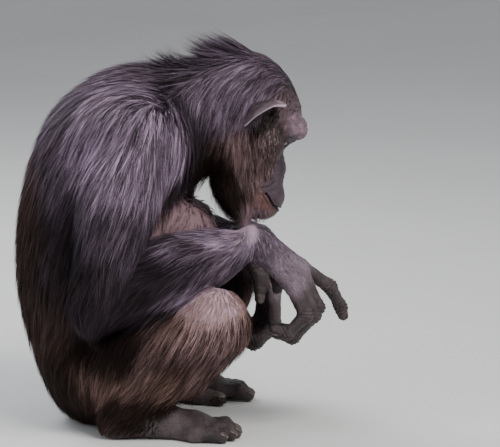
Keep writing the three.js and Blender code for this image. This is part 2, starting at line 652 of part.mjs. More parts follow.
function addLeg(name, side, sense) {
  const { hip, knee, ankle, heel, ball: footBall, toes, bigToe } = side;
  const atKnee = bendPlane(hip, knee, ankle);
  const thigh = furred("thigh", thighForm(side));
  const thighField = { rows: 2, each: 3, span: [0.05, 0.75], lock: LOCK.thigh };
  const thighLocks = outerLocks(sense, [-0.16, 0.2], at(-0.8, 0, -1), thighField);
  addLimb(`thigh_${name}`, BROWN_COAT, thigh, [hip, knee], FACETS.limb, upwards, [atKnee.before], thighLocks);
  const instep = joint(ankle, footBall, 0.5).add(at(0, 0, -8));
  const footAxis = [joint(heel, ankle, 0.3), instep, footBall];
  addLimb(`foot_${name}`, HAND_SKIN, footForm(side), footAxis, FACETS.foot, upwards);
  const shin = furred("shin", shinForm(side), shinFringe(side));
  const shinAxis = [knee, joint(knee, ankle, 0.9)];
  const shinField = { rows: 2, each: 3, span: [0.05, 0.85], lock: LOCK.shin };
  const shinLocks = outerLocks(sense, [-0.26, 0.26], at(-0.55, 0, -1), shinField);
  addLimb(`shin_${name}`, BROWN_COAT, shin, shinAxis, FACETS.shin, forwards, [atKnee.after], shinLocks);
  for (const [toe, points] of Object.entries(toes))
    addLimb(`toe_${toe}_${name}`, HAND_SKIN, chain(6, points, TOE_RADII), points, FACETS.toe, upwards);
  addLimb(`big_toe_${name}`, HAND_SKIN, chain(8, bigToe, BIG_TOE_RADII), bigToe, FACETS.bigToe, upwards);
}

for (const [name, side, sense] of sides) {
  addArm(name, side, sense);
  addLeg(name, side, sense);
}

// Each node's mesh: its core with its locks, which keep clear of the floor and of every other node
const madeLocks = [];
for (const node of nodes) {
  let body = node.core;
  if (node.locks) {
    let tufts = node.locks(0).trimByPlane(up, FLOOR);
    for (const other of nodes) if (other !== node) tufts = cutClear(tufts, other.cutter);
    for (const other of madeLocks) tufts = cutClear(tufts, other);
    body = body.add(tufts);
    madeLocks.push(node.locks(2 * GAP));
  }
  const mesh = new THREE.Mesh(geometryOf(largest(solidOf(geometryOf(largest(body))))), node.material);
  mesh.name = node.name;
  model.add(mesh);
}

// The origin is on the floor, below the middle of the whole animal
const middle = new THREE.Box3().setFromObject(model).getCenter(at(0, 0, 0));
model.position.set(-middle.x, -middle.y, 0);

export default model;
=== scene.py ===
# A life-size adult chimpanzee that squats on the ground with its chin over its forearms.
# Lengths are in millimetres until a piece is made. +X is the way it faces, +Y its left side, +Z up.
import math
from itertools import product

import bmesh
import bpy
import numpy as np
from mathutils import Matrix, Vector


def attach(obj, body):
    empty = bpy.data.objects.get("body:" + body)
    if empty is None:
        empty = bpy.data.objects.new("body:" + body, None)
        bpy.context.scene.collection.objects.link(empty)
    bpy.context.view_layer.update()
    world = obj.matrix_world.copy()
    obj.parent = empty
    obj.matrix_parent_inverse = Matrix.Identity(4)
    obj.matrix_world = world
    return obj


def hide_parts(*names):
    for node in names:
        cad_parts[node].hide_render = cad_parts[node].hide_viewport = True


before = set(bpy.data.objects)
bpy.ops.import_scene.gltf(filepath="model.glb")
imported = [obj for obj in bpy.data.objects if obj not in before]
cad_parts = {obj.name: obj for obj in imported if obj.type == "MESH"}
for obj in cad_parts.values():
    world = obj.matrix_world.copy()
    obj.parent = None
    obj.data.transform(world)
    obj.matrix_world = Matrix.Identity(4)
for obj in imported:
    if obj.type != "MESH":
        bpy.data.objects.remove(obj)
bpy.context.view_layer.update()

# Where the model's own zero lies in the frame
SHIFT = np.array([-4.1006, 1.0903, 0.0], np.float32)
FLOOR_CLEAR = 0.6  # how far the skin stays above the floor

# The head, its eyes, ears and mouth
HEAD_CENTRE = (122, 0, 478)
HEAD_PITCH = math.radians(57)
EYE_RADIUS = 11.5
EYE_PLACE = (50, 25, 19)
EAR_PLACE = (-4, 76, 18)
EAR_REACH = (30, 41)  # half its width and height
EAR_THICKNESS = 2.0
LID_THICKNESS = 2.4
SLIT_REACH, SLIT_DEPTH = (7.8, 3.6), 6.5  # half the slit between the lids, and how deep it goes
NOSTRIL_PLACE = (100, 9, -21)
NOSTRIL_REACH, NOSTRIL_DEPTH = (6, 5.4, 4.2), 7  # its radii, and how deep it goes

# How deep the coat is over the skin, by region
COAT_DEPTH = {
    "head": 9, "neck": 24, "torso": 22, "upper_arm": 18, "forearm": 16, "thigh": 18, "shin": 20,
}

FINGER_RADII = (12.6, 10.2, 9.4, 8)
THUMB_RADII = (12.6, 10.6, 9.2, 7.8)
TOE_RADII = (12.5, 10.5, 8.5)
BIG_TOE_RADII = (17, 14, 11)


# Joints, fingers and toes of each side. The feet have one form, and the left one stands further ahead
def foot_points(sense, ahead):
    def place(x, y, z):
        return (x + ahead, y * sense, z)

    toes = {
        "second": [(46, 136, 18), (76, 134, 19), (93, 133, 9)],
        "third": [(46, 153, 17), (78, 154, 19), (94, 154, 9)],
        "fourth": [(42, 170, 16), (72, 173, 17), (87, 175, 8.6)],
        "fifth": [(33, 186, 14.5), (59, 191, 15), (73, 194, 8.2)],
    }
    return {
        "heel": place(-88, 148, 24), "ball": place(28, 158, 17),
        "toes": {name: [place(*point) for point in points] for name, points in toes.items()},
        "big_toe": [place(*point) for point in [(-28, 130, 22), (12, 110, 17), (46, 96, 11)]],
    }


RIGHT = {
    "shoulder": (-62, -150, 466), "elbow": (-116, -196, 216),
    "arm_rise": (2, -156, 261), "wrist": (124, -110, 298),
    "hip": (-122, -88, 108), "knee": (62, -184, 188), "ankle": (-66, -150, 56), **foot_points(-1, 0),
    "fingers": {
        "index": [(190, -62, 252), (238, -46, 217), (255, -41, 184), (258, -39, 170)],
        "middle": [(193, -80, 246), (219, -79, 190), (187, -81, 153), (162, -83, 159)],
        "ring": [(188, -98, 238), (213, -98, 181), (180, -99, 146), (156, -100, 153)],
        "little": [(179, -114, 230), (200, -115, 184), (173, -115, 156), (153, -115, 161)],
    },
    "thumb": [(136, -84, 284), (150, -63, 256), (156, -57, 232), (156, -55, 214)],
}
LEFT = {
    "shoulder": (-62, 150, 466), "elbow": (-122, 196, 212),
    "arm_rise": (-8, 156, 250), "wrist": (112, 101, 268),
    "hip": (-122, 88, 108), "knee": (66, 184, 188), "ankle": (-48, 150, 56), **foot_points(1, 20),
    "fingers": {
        "index": [(152, 62, 197), (153, 60, 136), (126, 60, 110), (103, 61, 119)],
        "middle": [(150, 80, 190), (149, 80, 127), (120, 80, 103), (96, 80, 115)],
        "ring": [(145, 97, 187), (141, 98, 128), (113, 98, 106), (91, 98, 117)],
        "little": [(138, 112, 188), (132, 114, 139), (108, 114, 121), (90, 113, 130)],
    },
    "thumb": [(118, 78, 250), (128, 58, 222), (131, 51, 198), (129, 49, 181)],
}
SIDES = {"right": (RIGHT, -1), "left": (LEFT, 1)}


# Forms: each is a function from points to their distances from its surface, negative inside
def vec(point):
    return np.array(point, np.float32)


def length_of(v):
    return np.linalg.norm(v, axis=-1)


def bone(a, b, ra, rb):
    """A rounded rod from a to b, with a radius at each end."""
    a, along = vec(a), vec(b) - vec(a)

    def form(p):
        t = np.clip((p - a) @ along / (along @ along), 0, 1)
        return length_of(p - a - t[:, None] * along) - (ra + t * (rb - ra))

    return form


def mass(centre, radii, lean=0.0):
    """A rounded mass with a radius each way, leant forward by so many degrees."""
    c, s = math.cos(math.radians(lean)), math.sin(math.radians(lean))
    centre, radii = vec(centre), vec(radii)

    def form(p):
        q = p - centre
        q = np.stack([q[:, 0] * c - q[:, 2] * s, q[:, 1], q[:, 0] * s + q[:, 2] * c], 1)
        k0 = length_of(q / radii)
        k1 = length_of(q / radii**2)
        return np.where(k1 < 1e-9, -radii.min(), k0 * (k0 - 1) / np.maximum(k1, 1e-9))

    return form


def grown(fillet, *forms):
    """Forms joined into one, with a fillet in the corners between them."""
    def form(p):
        d = forms[0](p)
        for other in forms[1:]:
            e = other(p)
            h = np.maximum(fillet - np.abs(d - e), 0) / fillet
            d = np.minimum(d, e) - h * h * fillet * 0.25
        return d

    return form


def halved(p):
    """Points with the right side laid over the left."""
    return p * (1, 0, 1) + np.abs(p) * (0, 1, 0)


def both_sides(form):
    return lambda p: form(halved(p))


def widened(form, share):
    return lambda p: form(p / vec((1, share, 1)))


def raised(form, depth):
    return lambda p: form(p) - depth


def chain(fillet, points, radii):
    return grown(fillet, *(bone(*points[i : i + 2], *radii[i : i + 2]) for i in range(len(points) - 1)))


def between(a, b, t, offset=(0, 0, 0)):
    return tuple(vec(a) * (1 - t) + vec(b) * t + vec(offset))


def moved(point, offset):
    return tuple(vec(point) + vec(offset))


# A part is only worked out near its own points, because it changes nothing further away
PART_MARGIN = 42


def near(points, reach, form):
    low, high = np.min(points, 0) - reach, np.max(points, 0) + reach

    def bounded(p):
        off = length_of(np.maximum(np.maximum(low - p, p - high), 0))
        d = (off + PART_MARGIN).astype(np.float32)
        close = off < PART_MARGIN
        if close.any():
            d[close] = form(p[close])
        return d

    return bounded


# The head's own frame: ahead, aside and above its centre
NOD_COS, NOD_SIN = math.cos(HEAD_PITCH), math.sin(HEAD_PITCH)
HEAD_TURN = vec([[NOD_COS, 0, -NOD_SIN], [0, 1, 0], [NOD_SIN, 0, NOD_COS]])


def head_point(ahead, aside, above):
    return tuple(vec(HEAD_CENTRE) + vec((ahead, aside, above)) @ HEAD_TURN)


def to_head(p):
    return (p - vec(HEAD_CENTRE)) @ HEAD_TURN.T


nape_hair, cheek_hair = mass((-36, 0, 6), (76, 75, 71)), mass((14, 42, -46), (38, 32, 54))
head_hair = both_sides(grown(30, nape_hair, cheek_hair, mass((84, 18, -96), (56, 36, 29))))


def head_shapes():
    """The head's skin, from forms in the head's own frame."""
    skull, forehead = mass((-18, 0, 11), (75, 61, 64)), mass((22, 0, 26), (34, 40, 38))
    upper_jaw = widened(bone((30, 0, -18), (108, 0, -56), 45, 32), 1.12)
    lower_jaw = widened(bone((34, 0, -62), (116, 0, -73), 34, 27), 1.16)
    jaw_corner = both_sides(mass((18, 42, -40), (34, 20, 40)))
    temple = both_sides(mass((38, 46, 2), (27, 19, 19)))
    cheek = both_sides(mass((52, 32, -8), (20, 20, 17)))
    brow_arch, brow_end = (54, 27, 45), (37, 53, 34)
    brow_bones = bone((55, 0, 44), brow_arch, 13, 13.5), bone(brow_arch, brow_end, 13.5, 9.5)
    brow = both_sides(grown(8, *brow_bones))
    bridge, nose = mass((50, 0, 25), (16.5, 22, 25)), mass((86, 0, -13), (15, 18, 10))
    upper_lip, lower_lip = mass((119, 0, -45), (21, 38, 17)), mass((130, 0, -63), (17, 32, 13))
    firm = [skull, forehead, upper_jaw, lower_jaw, jaw_corner, temple, cheek, brow]
    face = grown(14, *firm, bridge, nose, upper_lip, lower_lip)
    lids = both_sides(mass(EYE_PLACE, (EYE_RADIUS + LID_THICKNESS,) * 3))
    form = grown(5, grown(8, face, raised(head_hair, -COAT_DEPTH["head"] - 5)), lids)
    return near([head_point(0, 0, 0)], 175, lambda p: form(to_head(p)))


def lowered(form, region):
    """A form of the coat's outside, taken down to the skin."""
    return raised(form, -COAT_DEPTH[region])


def arm_shapes(s):
    middle = between(s["shoulder"], s["elbow"], 0.42)
    upper_arm = grown(30, bone(s["shoulder"], s["elbow"], 48, 34), mass(middle, (48, 44, 84), 13))
    slope = between(s["arm_rise"], s["wrist"], 0.45)
    flesh = chain(40, [s["elbow"], s["arm_rise"], slope, s["wrist"]], (36, 42, 31, 20))
    below = moved(s["arm_rise"], (0, 0, -12))
    fringe = grown(30, bone(s["elbow"], below, 46, 48), bone(s["arm_rise"], s["wrist"], 44, 20))
    forearm = grown(20, flesh, lowered(fringe, "forearm"))
    return {
        "upper_arm": near([s["shoulder"], s["elbow"]], 90, upper_arm),
        "forearm": near([s["elbow"], s["arm_rise"], s["wrist"]], 60, forearm),
    }


def leg_shapes(s):
    thigh = chain(30, [s["hip"], between(s["hip"], s["knee"], 0.5), s["knee"]], (70, 60, 46))
    calf = between(s["knee"], s["ankle"], 0.42, (-14, 0, -4))
    flesh = grown(30, bone(s["knee"], s["ankle"], 44, 27), mass(calf, (38, 38, 62), 28))
    fringe = bone(moved(s["knee"], (6, 0, -30)), moved(s["ankle"], (94, -2, 10)), 46, 20)
    shin = grown(20, flesh, lowered(fringe, "shin"))
    return {
        "thigh": near([s["hip"], s["knee"]], 75, thigh),
        "shin": near([s["knee"], s["ankle"], s["ball"]], 75, shin),
    }


def hand_shape(s):
    knuckles = [points[0] for points in s["fingers"].values()]
    palm = [bone(s["wrist"], knuckle, 19, 13.5) for knuckle in knuckles]
    form = grown(14, *palm, bone(s["wrist"], s["thumb"][1], 20, 12))
    return near([s["wrist"], *knuckles], 25, form)


def foot_shape(s):
    form = grown(
        20,
        bone(s["ankle"], s["heel"], 27, 23),
        bone(s["heel"], s["ball"], 23, 17),
        bone(s["ankle"], s["ball"], 26, 18),
        *(bone(s["ball"], points[0], 16, 13) for points in s["toes"].values()),
        bone(s["ankle"], s["big_toe"][0], 24, 17),
    )
    return near([s["ankle"], s["heel"], s["ball"]], 60, form)


def digit_shapes(lines, radii, end_line, end_radii, fillets, reach):
    """Four fingers or toes with the thumb or big toe, which keep apart down to a small fillet."""
    digits = [chain(6, points, radii) for points in lines]
    digits.append(chain(fillets[1], end_line, end_radii))
    return near([p for points in [*lines, end_line] for p in points], reach, grown(fillets[0], *digits))


def side_shapes(s):
    fingers = digit_shapes(list(s["fingers"].values()), FINGER_RADII, s["thumb"], THUMB_RADII, (1.2, 6), 16)
    toes = digit_shapes(list(s["toes"].values()), TOE_RADII, s["big_toe"], BIG_TOE_RADII, (2.5, 8), 18)
    ends = {"hand": hand_shape(s), "foot": foot_shape(s), "fingers": fingers, "toes": toes}
    return {**arm_shapes(s), **leg_shapes(s), **ends}


trunk = grown(
    60,
    mass((-112, 0, 92), (84, 126, 96)),
    mass((-112, 0, 215), (122, 148, 140)),
    mass((-114, 0, 350), (112, 138, 140), 17),
    mass((-82, 0, 432), (98, 142, 92), 22),
    both_sides(mass((-62, 100, 452), (62, 62, 62))),
)
breast = both_sides(mass((10, 46, 294), (52, 48, 50)))
neck = grown(
    40,
    bone((-50, 0, 468), head_point(-40, 0, -10), 78, 56),
    bone((-30, 0, 430), head_point(20, 0, -62), 52, 34),
)
PARTS = {"torso": grown(30, trunk, breast), "neck": near([(-50, 0, 468), head_point(0, 0, -30)], 95, neck)}
PARTS["head"] = head_shapes()
for side_name, (side, _) in SIDES.items():
    for part_name, form in side_shapes(side).items():
        PARTS[f"{part_name}_{side_name}"] = form


def pair(name):
    """A part's forms on both sides."""
    return [PARTS[f"{name}_{side}"] for side in SIDES]


def skin_form(p):
    """The whole skin: smooth where its parts belong together, and crisp where they only touch."""
    body = grown(14, grown(36, PARTS["torso"], PARTS["neck"]), PARTS["head"])
    body = grown(22, body, *pair("upper_arm"))
    legs = [grown(18, *leg) for leg in zip(pair("thigh"), pair("shin"), pair("foot"))]
    arms = [grown(12, *arm) for arm in zip(pair("forearm"), pair("hand"))]
    whole = grown(10, body, *arms, *legs)
    whole = grown(5, whole, *pair("fingers"), *pair("toes"))
    return np.maximum(whole(p), FLOOR_CLEAR - p[:, 2])


# A grid of distances from the skin: exact near it, and smoothed from a coarse grid further away
VOXEL = 2.5
COARSE = 4  # voxels in a coarse step
EXACT_BAND = 1.25  # coarse steps on either side of the skin
ORIGIN = vec((-290, -275, -20))
STEPS = (58, 55, 66)  # coarse steps


def coarse_grid():
    places = [np.arange(n + 1, dtype=np.float32) * VOXEL * COARSE for n in STEPS]
    points = np.stack(np.meshgrid(*places, indexing="ij"), -1).reshape(-1, 3) + ORIGIN
    return skin_form(points).reshape([n + 1 for n in STEPS])


def stretched(grid, axis):
    grid = np.moveaxis(grid, axis, 0)
    parts = [grid[:-1] * (1 - i / COARSE) + grid[1:] * (i / COARSE) for i in range(COARSE)]
    fine = np.stack(parts, 1).reshape(-1, *grid.shape[1:])
    return np.moveaxis(np.concatenate([fine, grid[-1:]]), 0, axis)


def cell_corners(grid):
    """The values at each of the eight corners of all the grid's cells."""
    n0, n1, n2 = (n - 1 for n in grid.shape)
    return [grid[i : n0 + i, j : n1 + j, k : n2 + k] for i, j, k in product((0, 1), repeat=3)]


def distance_grid():
    coarse = coarse_grid()
    grid = coarse
    for axis in range(3):
        grid = stretched(grid, axis)
    close = np.argwhere(np.abs(sum(cell_corners(coarse)) / 8) < VOXEL * COARSE * EXACT_BAND)
    offsets = np.array(list(product(range(COARSE + 1), repeat=3)))
    cells = np.unique((close[:, None] * COARSE + offsets).reshape(-1, 3), axis=0)
    grid[tuple(cells.T)] = skin_form(cells.astype(np.float32) * VOXEL + ORIGIN)
    return grid


def net_points(grid, cells):
    """For each cell, the middle of the places where the zero level crosses its edges."""
    total, hits = np.zeros((len(cells), 3), np.float32), np.zeros(len(cells), np.float32)
    for start in product((0, 1), repeat=3):
        for axis in range(3):
            if start[axis]:
                continue
            end = tuple(1 if i == axis else start[i] for i in range(3))
            a, b = grid[tuple((cells + start).T)], grid[tuple((cells + end).T)]
            crossed = (a < 0) != (b < 0)
            t = np.where(crossed, a / np.where(crossed, a - b, 1), 0)
            total += np.where(crossed[:, None], np.array(start) + t[:, None] * np.eye(3)[axis], 0)
            hits += crossed
    return ((cells + total / hits[:, None]) * VOXEL + ORIGIN).astype(np.float32)


def net_faces(inside, number):
    """A quad round each grid edge that the zero level crosses, from the numbers of the cells' points."""
    faces = []
    step = np.eye(3, dtype=int)
    for axis in range(3):
        ahead, aside = (axis + 1) % 3, (axis + 2) % 3
        edges = np.argwhere(np.diff(inside, axis=axis))
        edges = edges[(edges[:, ahead] > 0) & (edges[:, aside] > 0)]
        edges = edges[(edges < np.array(inside.shape) - 1).all(1)]
        ring = [edges - step[ahead] - step[aside], edges - step[aside], edges, edges - step[ahead]]
        quads = np.stack([number[tuple(r.T)] for r in ring], 1)
        outwards = inside[tuple(edges.T)]
        faces.append(np.where(outwards[:, None], quads, quads[:, ::-1]))
    return np.concatenate(faces)


def surface_net(grid):
    """Points and quads of the grid's zero level, with one point in each cell that it crosses."""
    inside = grid < 0
    count = sum(corner.astype(np.int8) for corner in cell_corners(inside))
    cells = np.argwhere((count > 0) & (count < 8))
    number = np.full(count.shape, -1, np.int64)
    number[tuple(cells.T)] = np.arange(len(cells))
    return net_points(grid, cells), net_faces(inside, number)


GRID = distance_grid()


def sample(p):
    """Distance from the skin and the outward direction at points, read from the grid."""

    def mixed(v):
        return (v[0, 0] * (1 - y) + v[1, 0] * y) * (1 - z) + (v[0, 1] * (1 - y) + v[1, 1] * y) * z

    q = np.clip((p - ORIGIN) / VOXEL, 0, np.array(GRID.shape) - 1.001)
    i = q.astype(np.int64)
    f = (q - i).astype(np.float32)
    i0, j0, k0 = i.T
    c = {o: GRID[i0 + o[0], j0 + o[1], k0 + o[2]] for o in product((0, 1), repeat=3)}
    x, y, z = f.T
    line = {(j, k): (c[0, j, k], c[1, j, k]) for j, k in product((0, 1), repeat=2)}
    along_x = {jk: a + (b - a) * x for jk, (a, b) in line.items()}
    slope_x = {jk: b - a for jk, (a, b) in line.items()}
    gy = (along_x[1, 0] - along_x[0, 0]) * (1 - z) + (along_x[1, 1] - along_x[0, 1]) * z
    gz = (along_x[0, 1] - along_x[0, 0]) * (1 - y) + (along_x[1, 1] - along_x[1, 0]) * y
    out = np.stack([mixed(slope_x), gy, gz], 1)
    return mixed(along_x), unit(out)


def unit(v):
    return v / np.maximum(np.linalg.norm(v, axis=-1, keepdims=True), 1e-6)


def smooth_outward(p, reach=5.0):
    """The outward direction, evened over a few millimetres."""
    out = np.zeros_like(p)
    for axis in range(3):
        step = vec(np.eye(3)[axis] * reach)
        out[:, axis] = sample(p + step)[0] - sample(p - step)[0]
    return unit(out)


# Marks on the body, each from 0 to 1
def ramp(x, low, high):
    t = np.clip((x - low) / (high - low), 0, 1)
    return t * t * (3 - 2 * t)


def bell(x, width):
    """1 at zero, falling off over a width to either side."""
    return np.exp(-((x / width) ** 2))


def spot(p, centre, radii):
    """1 at the middle of a rounded patch, 0 outside it."""
    return ramp(1 - length_of((p - vec(centre)) / vec(radii)), -0.12, 0.25)


def strongest(p, spots):
    """The greatest of several patches, each with its centre, radii and strength."""
    return np.maximum.reduce([spot(p, centre, radii) * strength for centre, radii, strength in spots])


HASH_AXES = (73856093, 19349663, 83492791)
HASH_SEED, HASH_MIX = 2654435761, 1274126177


def noise(p, size, seed):
    """Smooth noise from 0 to 1 with lumps of about a given size."""
    q = p / size + seed * 17.31
    i = np.floor(q).astype(np.int64)
    f = q - i
    f = f * f * (3 - 2 * f)
    total = 0
    for o in product((0, 1), repeat=3):
        key = (i + o) @ np.array(HASH_AXES) + seed * HASH_SEED
        key = (key ^ (key >> 13)) * HASH_MIX & 0xFFFFFFFF
        value = ((key ^ (key >> 16)) & 0xFFFF) / 0xFFFF
        total = total + value * np.prod(np.where(np.array(o), f, 1 - f), axis=1)
    return total


def folded(p):
    """Points in the head's frame, with its right side laid over its left."""
    q = to_head(p)
    q[:, 1] = np.abs(q[:, 1])
    return q


def face_mark(p):
    """The bare skin of the upper lip and jaw, the eyes, the brow and the nose."""
    return strongest(folded(p), [
        ((112, 0, -42), (54, 58, 46), 1), ((134, 0, -74), (34, 44, 34), 1),
        ((68, 8, 10), (32, 42, 36), 1), ((52, 22, 46), (30, 44, 22), 1), ((92, 0, -14), (36, 44, 36), 1),
    ])


def on_parts(p, *names):
    """1 on the named parts of either side, and 0 a finger's width from them."""
    distances = [form(p) for name in names for form in pair(name)]
    return ramp(np.minimum.reduce(distances), 9, 3)


def hand_length(p):
    """0 at the nearer wrist and 1 at its knuckles, and more along the fingers."""
    best, along = np.full(len(p), 1e4, np.float32), np.zeros(len(p), np.float32)
    for side in (RIGHT, LEFT):
        wrist, knuckle = vec(side["wrist"]), vec(side["fingers"]["middle"][0])
        reach = length_of(p - knuckle)
        share = (p - wrist) @ (knuckle - wrist) / ((knuckle - wrist) @ (knuckle - wrist))
        along = np.where(reach < best, share, along)
        best = np.minimum(best, reach)
    return along


def hand_mark(p):
    on_hand = on_parts(p, "hand", "fingers")
    return on_hand * np.maximum(ramp(hand_length(p), 0.05, 0.7), on_parts(p, "fingers") * 0.999)


def hand_bare(p):
    return on_parts(p, "hand", "fingers") * ramp(hand_length(p), 0.3, 1.15)


def foot_mark(p):
    """The bare skin of the toes, the front of the feet and the soles."""
    mark = np.zeros(len(p), np.float32)
    for side in (RIGHT, LEFT):
        ankle, ball = vec(side["ankle"]), vec(side["ball"])
        along = (p[:, 0] - ankle[0]) / (ball[0] - ankle[0])
        near_foot = ramp(np.abs(p[:, 1] - ball[1]), 75, 62) * ramp(p[:, 2], 62, 46)
        mark = np.maximum(mark, near_foot * np.maximum(ramp(along, 0.1, 0.6), ramp(p[:, 2], 16, 8)))
    return mark * on_parts(p, "foot", "toes")


def ragged(p, mark, size=14):
    """A mark with an uneven edge."""
    return ramp(mark + (noise(p, size, 21) - 0.5) * 0.5, 0.15, 0.85)


def pale_mark(p):
    """Worn patches on the knees and forearms, with short pale hair."""
    q = halved(p)
    knee = spot(q, (58, 206, 226), (62, 56, 38)) * on_parts(p, "thigh", "shin")
    arm = spot(q, (74, 140, 316), (64, 50, 34)) * on_parts(p, "forearm", "hand")
    return ragged(p, np.maximum(knee, arm * 0.62))


def wrist_mark(p):
    """From the last third of the forearm to the knuckles, where the hair gets short and sparse."""
    return on_parts(p, "forearm", "hand", "fingers") * ramp(hand_length(p), -1.3, 0.2)


def temple_mark(p):
    return spot(folded(p), (38, 50, 30), (50, 46, 52))


def chin_mark(p):
    """The chin and lower lip, with a few short white bristles."""
    return spot(folded(p), (118, 16, -80), (46, 44, 34))


def thin_mark(p):
    """Where the hair is short, fine and pale enough to blend with the skin."""
    return np.maximum.reduce([
        pale_mark(p), wrist_mark(p) * 0.9, temple_mark(p) * 0.3, chin_mark(p) * 0.5, front_mark(p) * 0.7,
    ])


# Centre, radii and strength of the painted shade at the throat, elbow, bend of the knee, seat and calf
PAINTED_SHADE = [
    ((60, 62, 410), (40, 60, 62), 0.75), ((-96, 190, 176), (70, 80, 44), 1),
    ((40, 150, 216), (90, 70, 30), 0.8), ((-170, 90, 60), (90, 110, 110), 0.55),
    ((-30, 170, 60), (80, 60, 44), 0.75),
]


def painted_shade_mark(p):
    """Painted shade in the sheltered places, below the ears and at the spots of the table above, where the
    coat is drawn nearly black.
    """
    ear = spot(folded(p), (9, 64, 24), (14, 28, 38)) * 0.9
    return np.maximum(ear, strongest(halved(p), PAINTED_SHADE))


def front_mark(p):
    """The chest and the breasts, where warm skin shows through thin hair."""
    return ragged(p, spot(halved(p), (16, 52, 318), (92, 92, 84)), 30)


def bare_mark(p):
    """Where the coat is thin enough for the skin to show."""
    seat = spot(halved(p), (-150, 60, 6), (50, 52, 20)) * 0.9
    marks = [face_mark(p), hand_bare(p), foot_mark(p), front_mark(p) * 0.75, seat, ear_root(p)]
    return np.clip(np.maximum.reduce(marks), 0, 1)


def ear_root(p):
    return spot(folded(p), (2, 68, 14), (22, 18, 30)) * 0.6


def lit_pale_brow_mark(p):
    """The skin over the eyes, the palest of the face: pale skin, with painted light on its top where light
    from above falls.
    """
    return ragged(p, spot(folded(p), (46, 30, 54), (56, 66, 34)), 9)


def brown_mark(p):
    """How brown the coat and the skin below it are: low on the back, on flanks, legs and cheeks."""
    low = ramp(p[:, 2] + 0.3 * (p[:, 0] + 180), 335, 150)
    arms = [form(p) for name in ("forearm", "upper_arm") for form in pair(name)]
    low = np.maximum(low, on_parts(p, "thigh", "shin") * 0.9) * ramp(np.minimum.reduce(arms), 2, 18)
    back = ramp(p[:, 0], -170, -215) * ramp(p[:, 2], 520, 420) * 0.85
    head = strongest(folded(p), [((54, 60, -40), (90, 62, 90), 0.7), ((46, 36, 50), (64, 64, 56), 0.6)])
    patches = (noise(p, 40, 9) - 0.5) * 0.35
    return np.clip(np.maximum.reduce([low, back, head, front_mark(p) * 0.7]) + patches, 0, 1)


# The patches of paler hair tips: shoulder, upper arm, crown, forearm, knee, shin and thigh, and then cheek
# and brow. On the shoulder, upper arm and crown the paleness is mostly a painted sheen where light falls.
SHEEN_AND_PALE_BODY = [
    ((-50, 160, 490), (110, 120, 100), 1.3), ((-60, 200, 400), (76, 100, 100), 0.36),
    ((124, 20, 556), (120, 96, 90), 0.6), ((70, 160, 312), (90, 80, 34), 0.6),
    ((66, 200, 210), (80, 60, 60), 0.9), ((90, 190, 130), (60, 60, 90), 0.7),
    ((-60, 180, 110), (120, 70, 80), 0.65),
]
SHEEN_AND_PALE_HEAD = [((46, 60, -10), (84, 60, 66), 0.8), ((52, 30, 62), (60, 60, 40), 0.7)]


def sheen_and_pale_mark(p):
    """How pale the coat's tips are: the hair's own paler patches, and a painted sheen where light falls on
    the shoulders, arms, upper back and crown, kept out of the painted shade.
    """
    # Painted sheen on the upper back, stronger higher up where light from above falls
    back = spot(halved(p), (-130, 60, 530), (150, 170, 190)) * 0.64 * ramp(p[:, 2], 330, 520)
    spots = [strongest(halved(p), SHEEN_AND_PALE_BODY), strongest(folded(p), SHEEN_AND_PALE_HEAD), back, temple_mark(p) * 0.55]
    whole = np.maximum.reduce(spots)
    patches = (noise(p, 50, 12) - 0.5) * 0.4
    whole = np.clip(whole + patches * (0.3 + whole), 0, 1)
    return np.maximum(whole * (1 - 0.85 * painted_shade_mark(p)), np.maximum(thin_mark(p), chin_mark(p)) * 0.95)


# Pieces
def to_frame(points):
    return (points + SHIFT) / 1000


def shown(piece):
    bpy.context.scene.collection.objects.link(piece)
    return piece


def mesh_piece(name, points, faces, smooth=True):
    """A mesh object from points in millimetres and faces that all have the same number of corners."""
    mesh = bpy.data.meshes.new(name)
    points = np.ascontiguousarray(to_frame(np.asarray(points)), np.float32)
    faces = np.ascontiguousarray(faces, np.int32)
    mesh.vertices.add(len(points))
    mesh.vertices.foreach_set("co", points.ravel())
    mesh.loops.add(faces.size)
    mesh.loops.foreach_set("vertex_index", faces.ravel())
    mesh.polygons.add(len(faces))
    mesh.polygons.foreach_set("loop_start", np.arange(0, faces.size, faces.shape[1], dtype=np.int32))
    mesh.update(calc_edges=True)
    piece = bpy.data.objects.new(name, mesh)
    if smooth:
        smoothed(piece)
    return shown(piece)


def smoothed(piece):
    piece.data.polygons.foreach_set("use_smooth", np.ones(len(piece.data.polygons), bool))
    return piece


def points_of(piece):
    points = np.zeros(len(piece.data.vertices) * 3, np.float32)
    piece.data.vertices.foreach_get("co", points)
    return points.reshape(-1, 3) * 1000 - SHIFT


def set_points(piece, points):
    piece.data.vertices.foreach_set("co", np.ascontiguousarray(to_frame(points), np.float32).ravel())
    piece.data.update()


def set_mark(piece, name, values):
    layer = piece.data.attributes.new(name, "FLOAT", "POINT")
    layer.data.foreach_set("value", np.ascontiguousarray(values, np.float32))


def applied(piece):
    """The piece with its modifiers worked into a plain mesh."""
    piece.data = bpy.data.meshes.new_from_object(piece.evaluated_get(bpy.context.evaluated_depsgraph_get()))
    piece.modifiers.clear()
    return piece


# Skin
SKIN_FACES = 112000  # left after the skin is thinned, before its fine places are refined


def thinned(piece):
    """Fewer faces where the coat covers the skin."""
    points = points_of(piece)
    keep = np.maximum(face_mark(points), hand_mark(points))
    group = piece.vertex_groups.new(name="thinned")
    group.add(np.flatnonzero(keep < 0.02).tolist(), 1.0, "REPLACE")
    thin = piece.modifiers.new("thin", "DECIMATE")
    thin.vertex_group = group.name
    thin.ratio = SKIN_FACES / (len(piece.data.polygons) * 2)
    applied(piece)
    piece.vertex_groups.clear()
    return piece


def reworked(piece, change):
    """The piece after a change to its editable mesh."""
    mesh = bmesh.new()
    mesh.from_mesh(piece.data)
    mesh.verts.ensure_lookup_table()
    change(mesh)
    mesh.to_mesh(piece.data)
    mesh.free()
    return piece


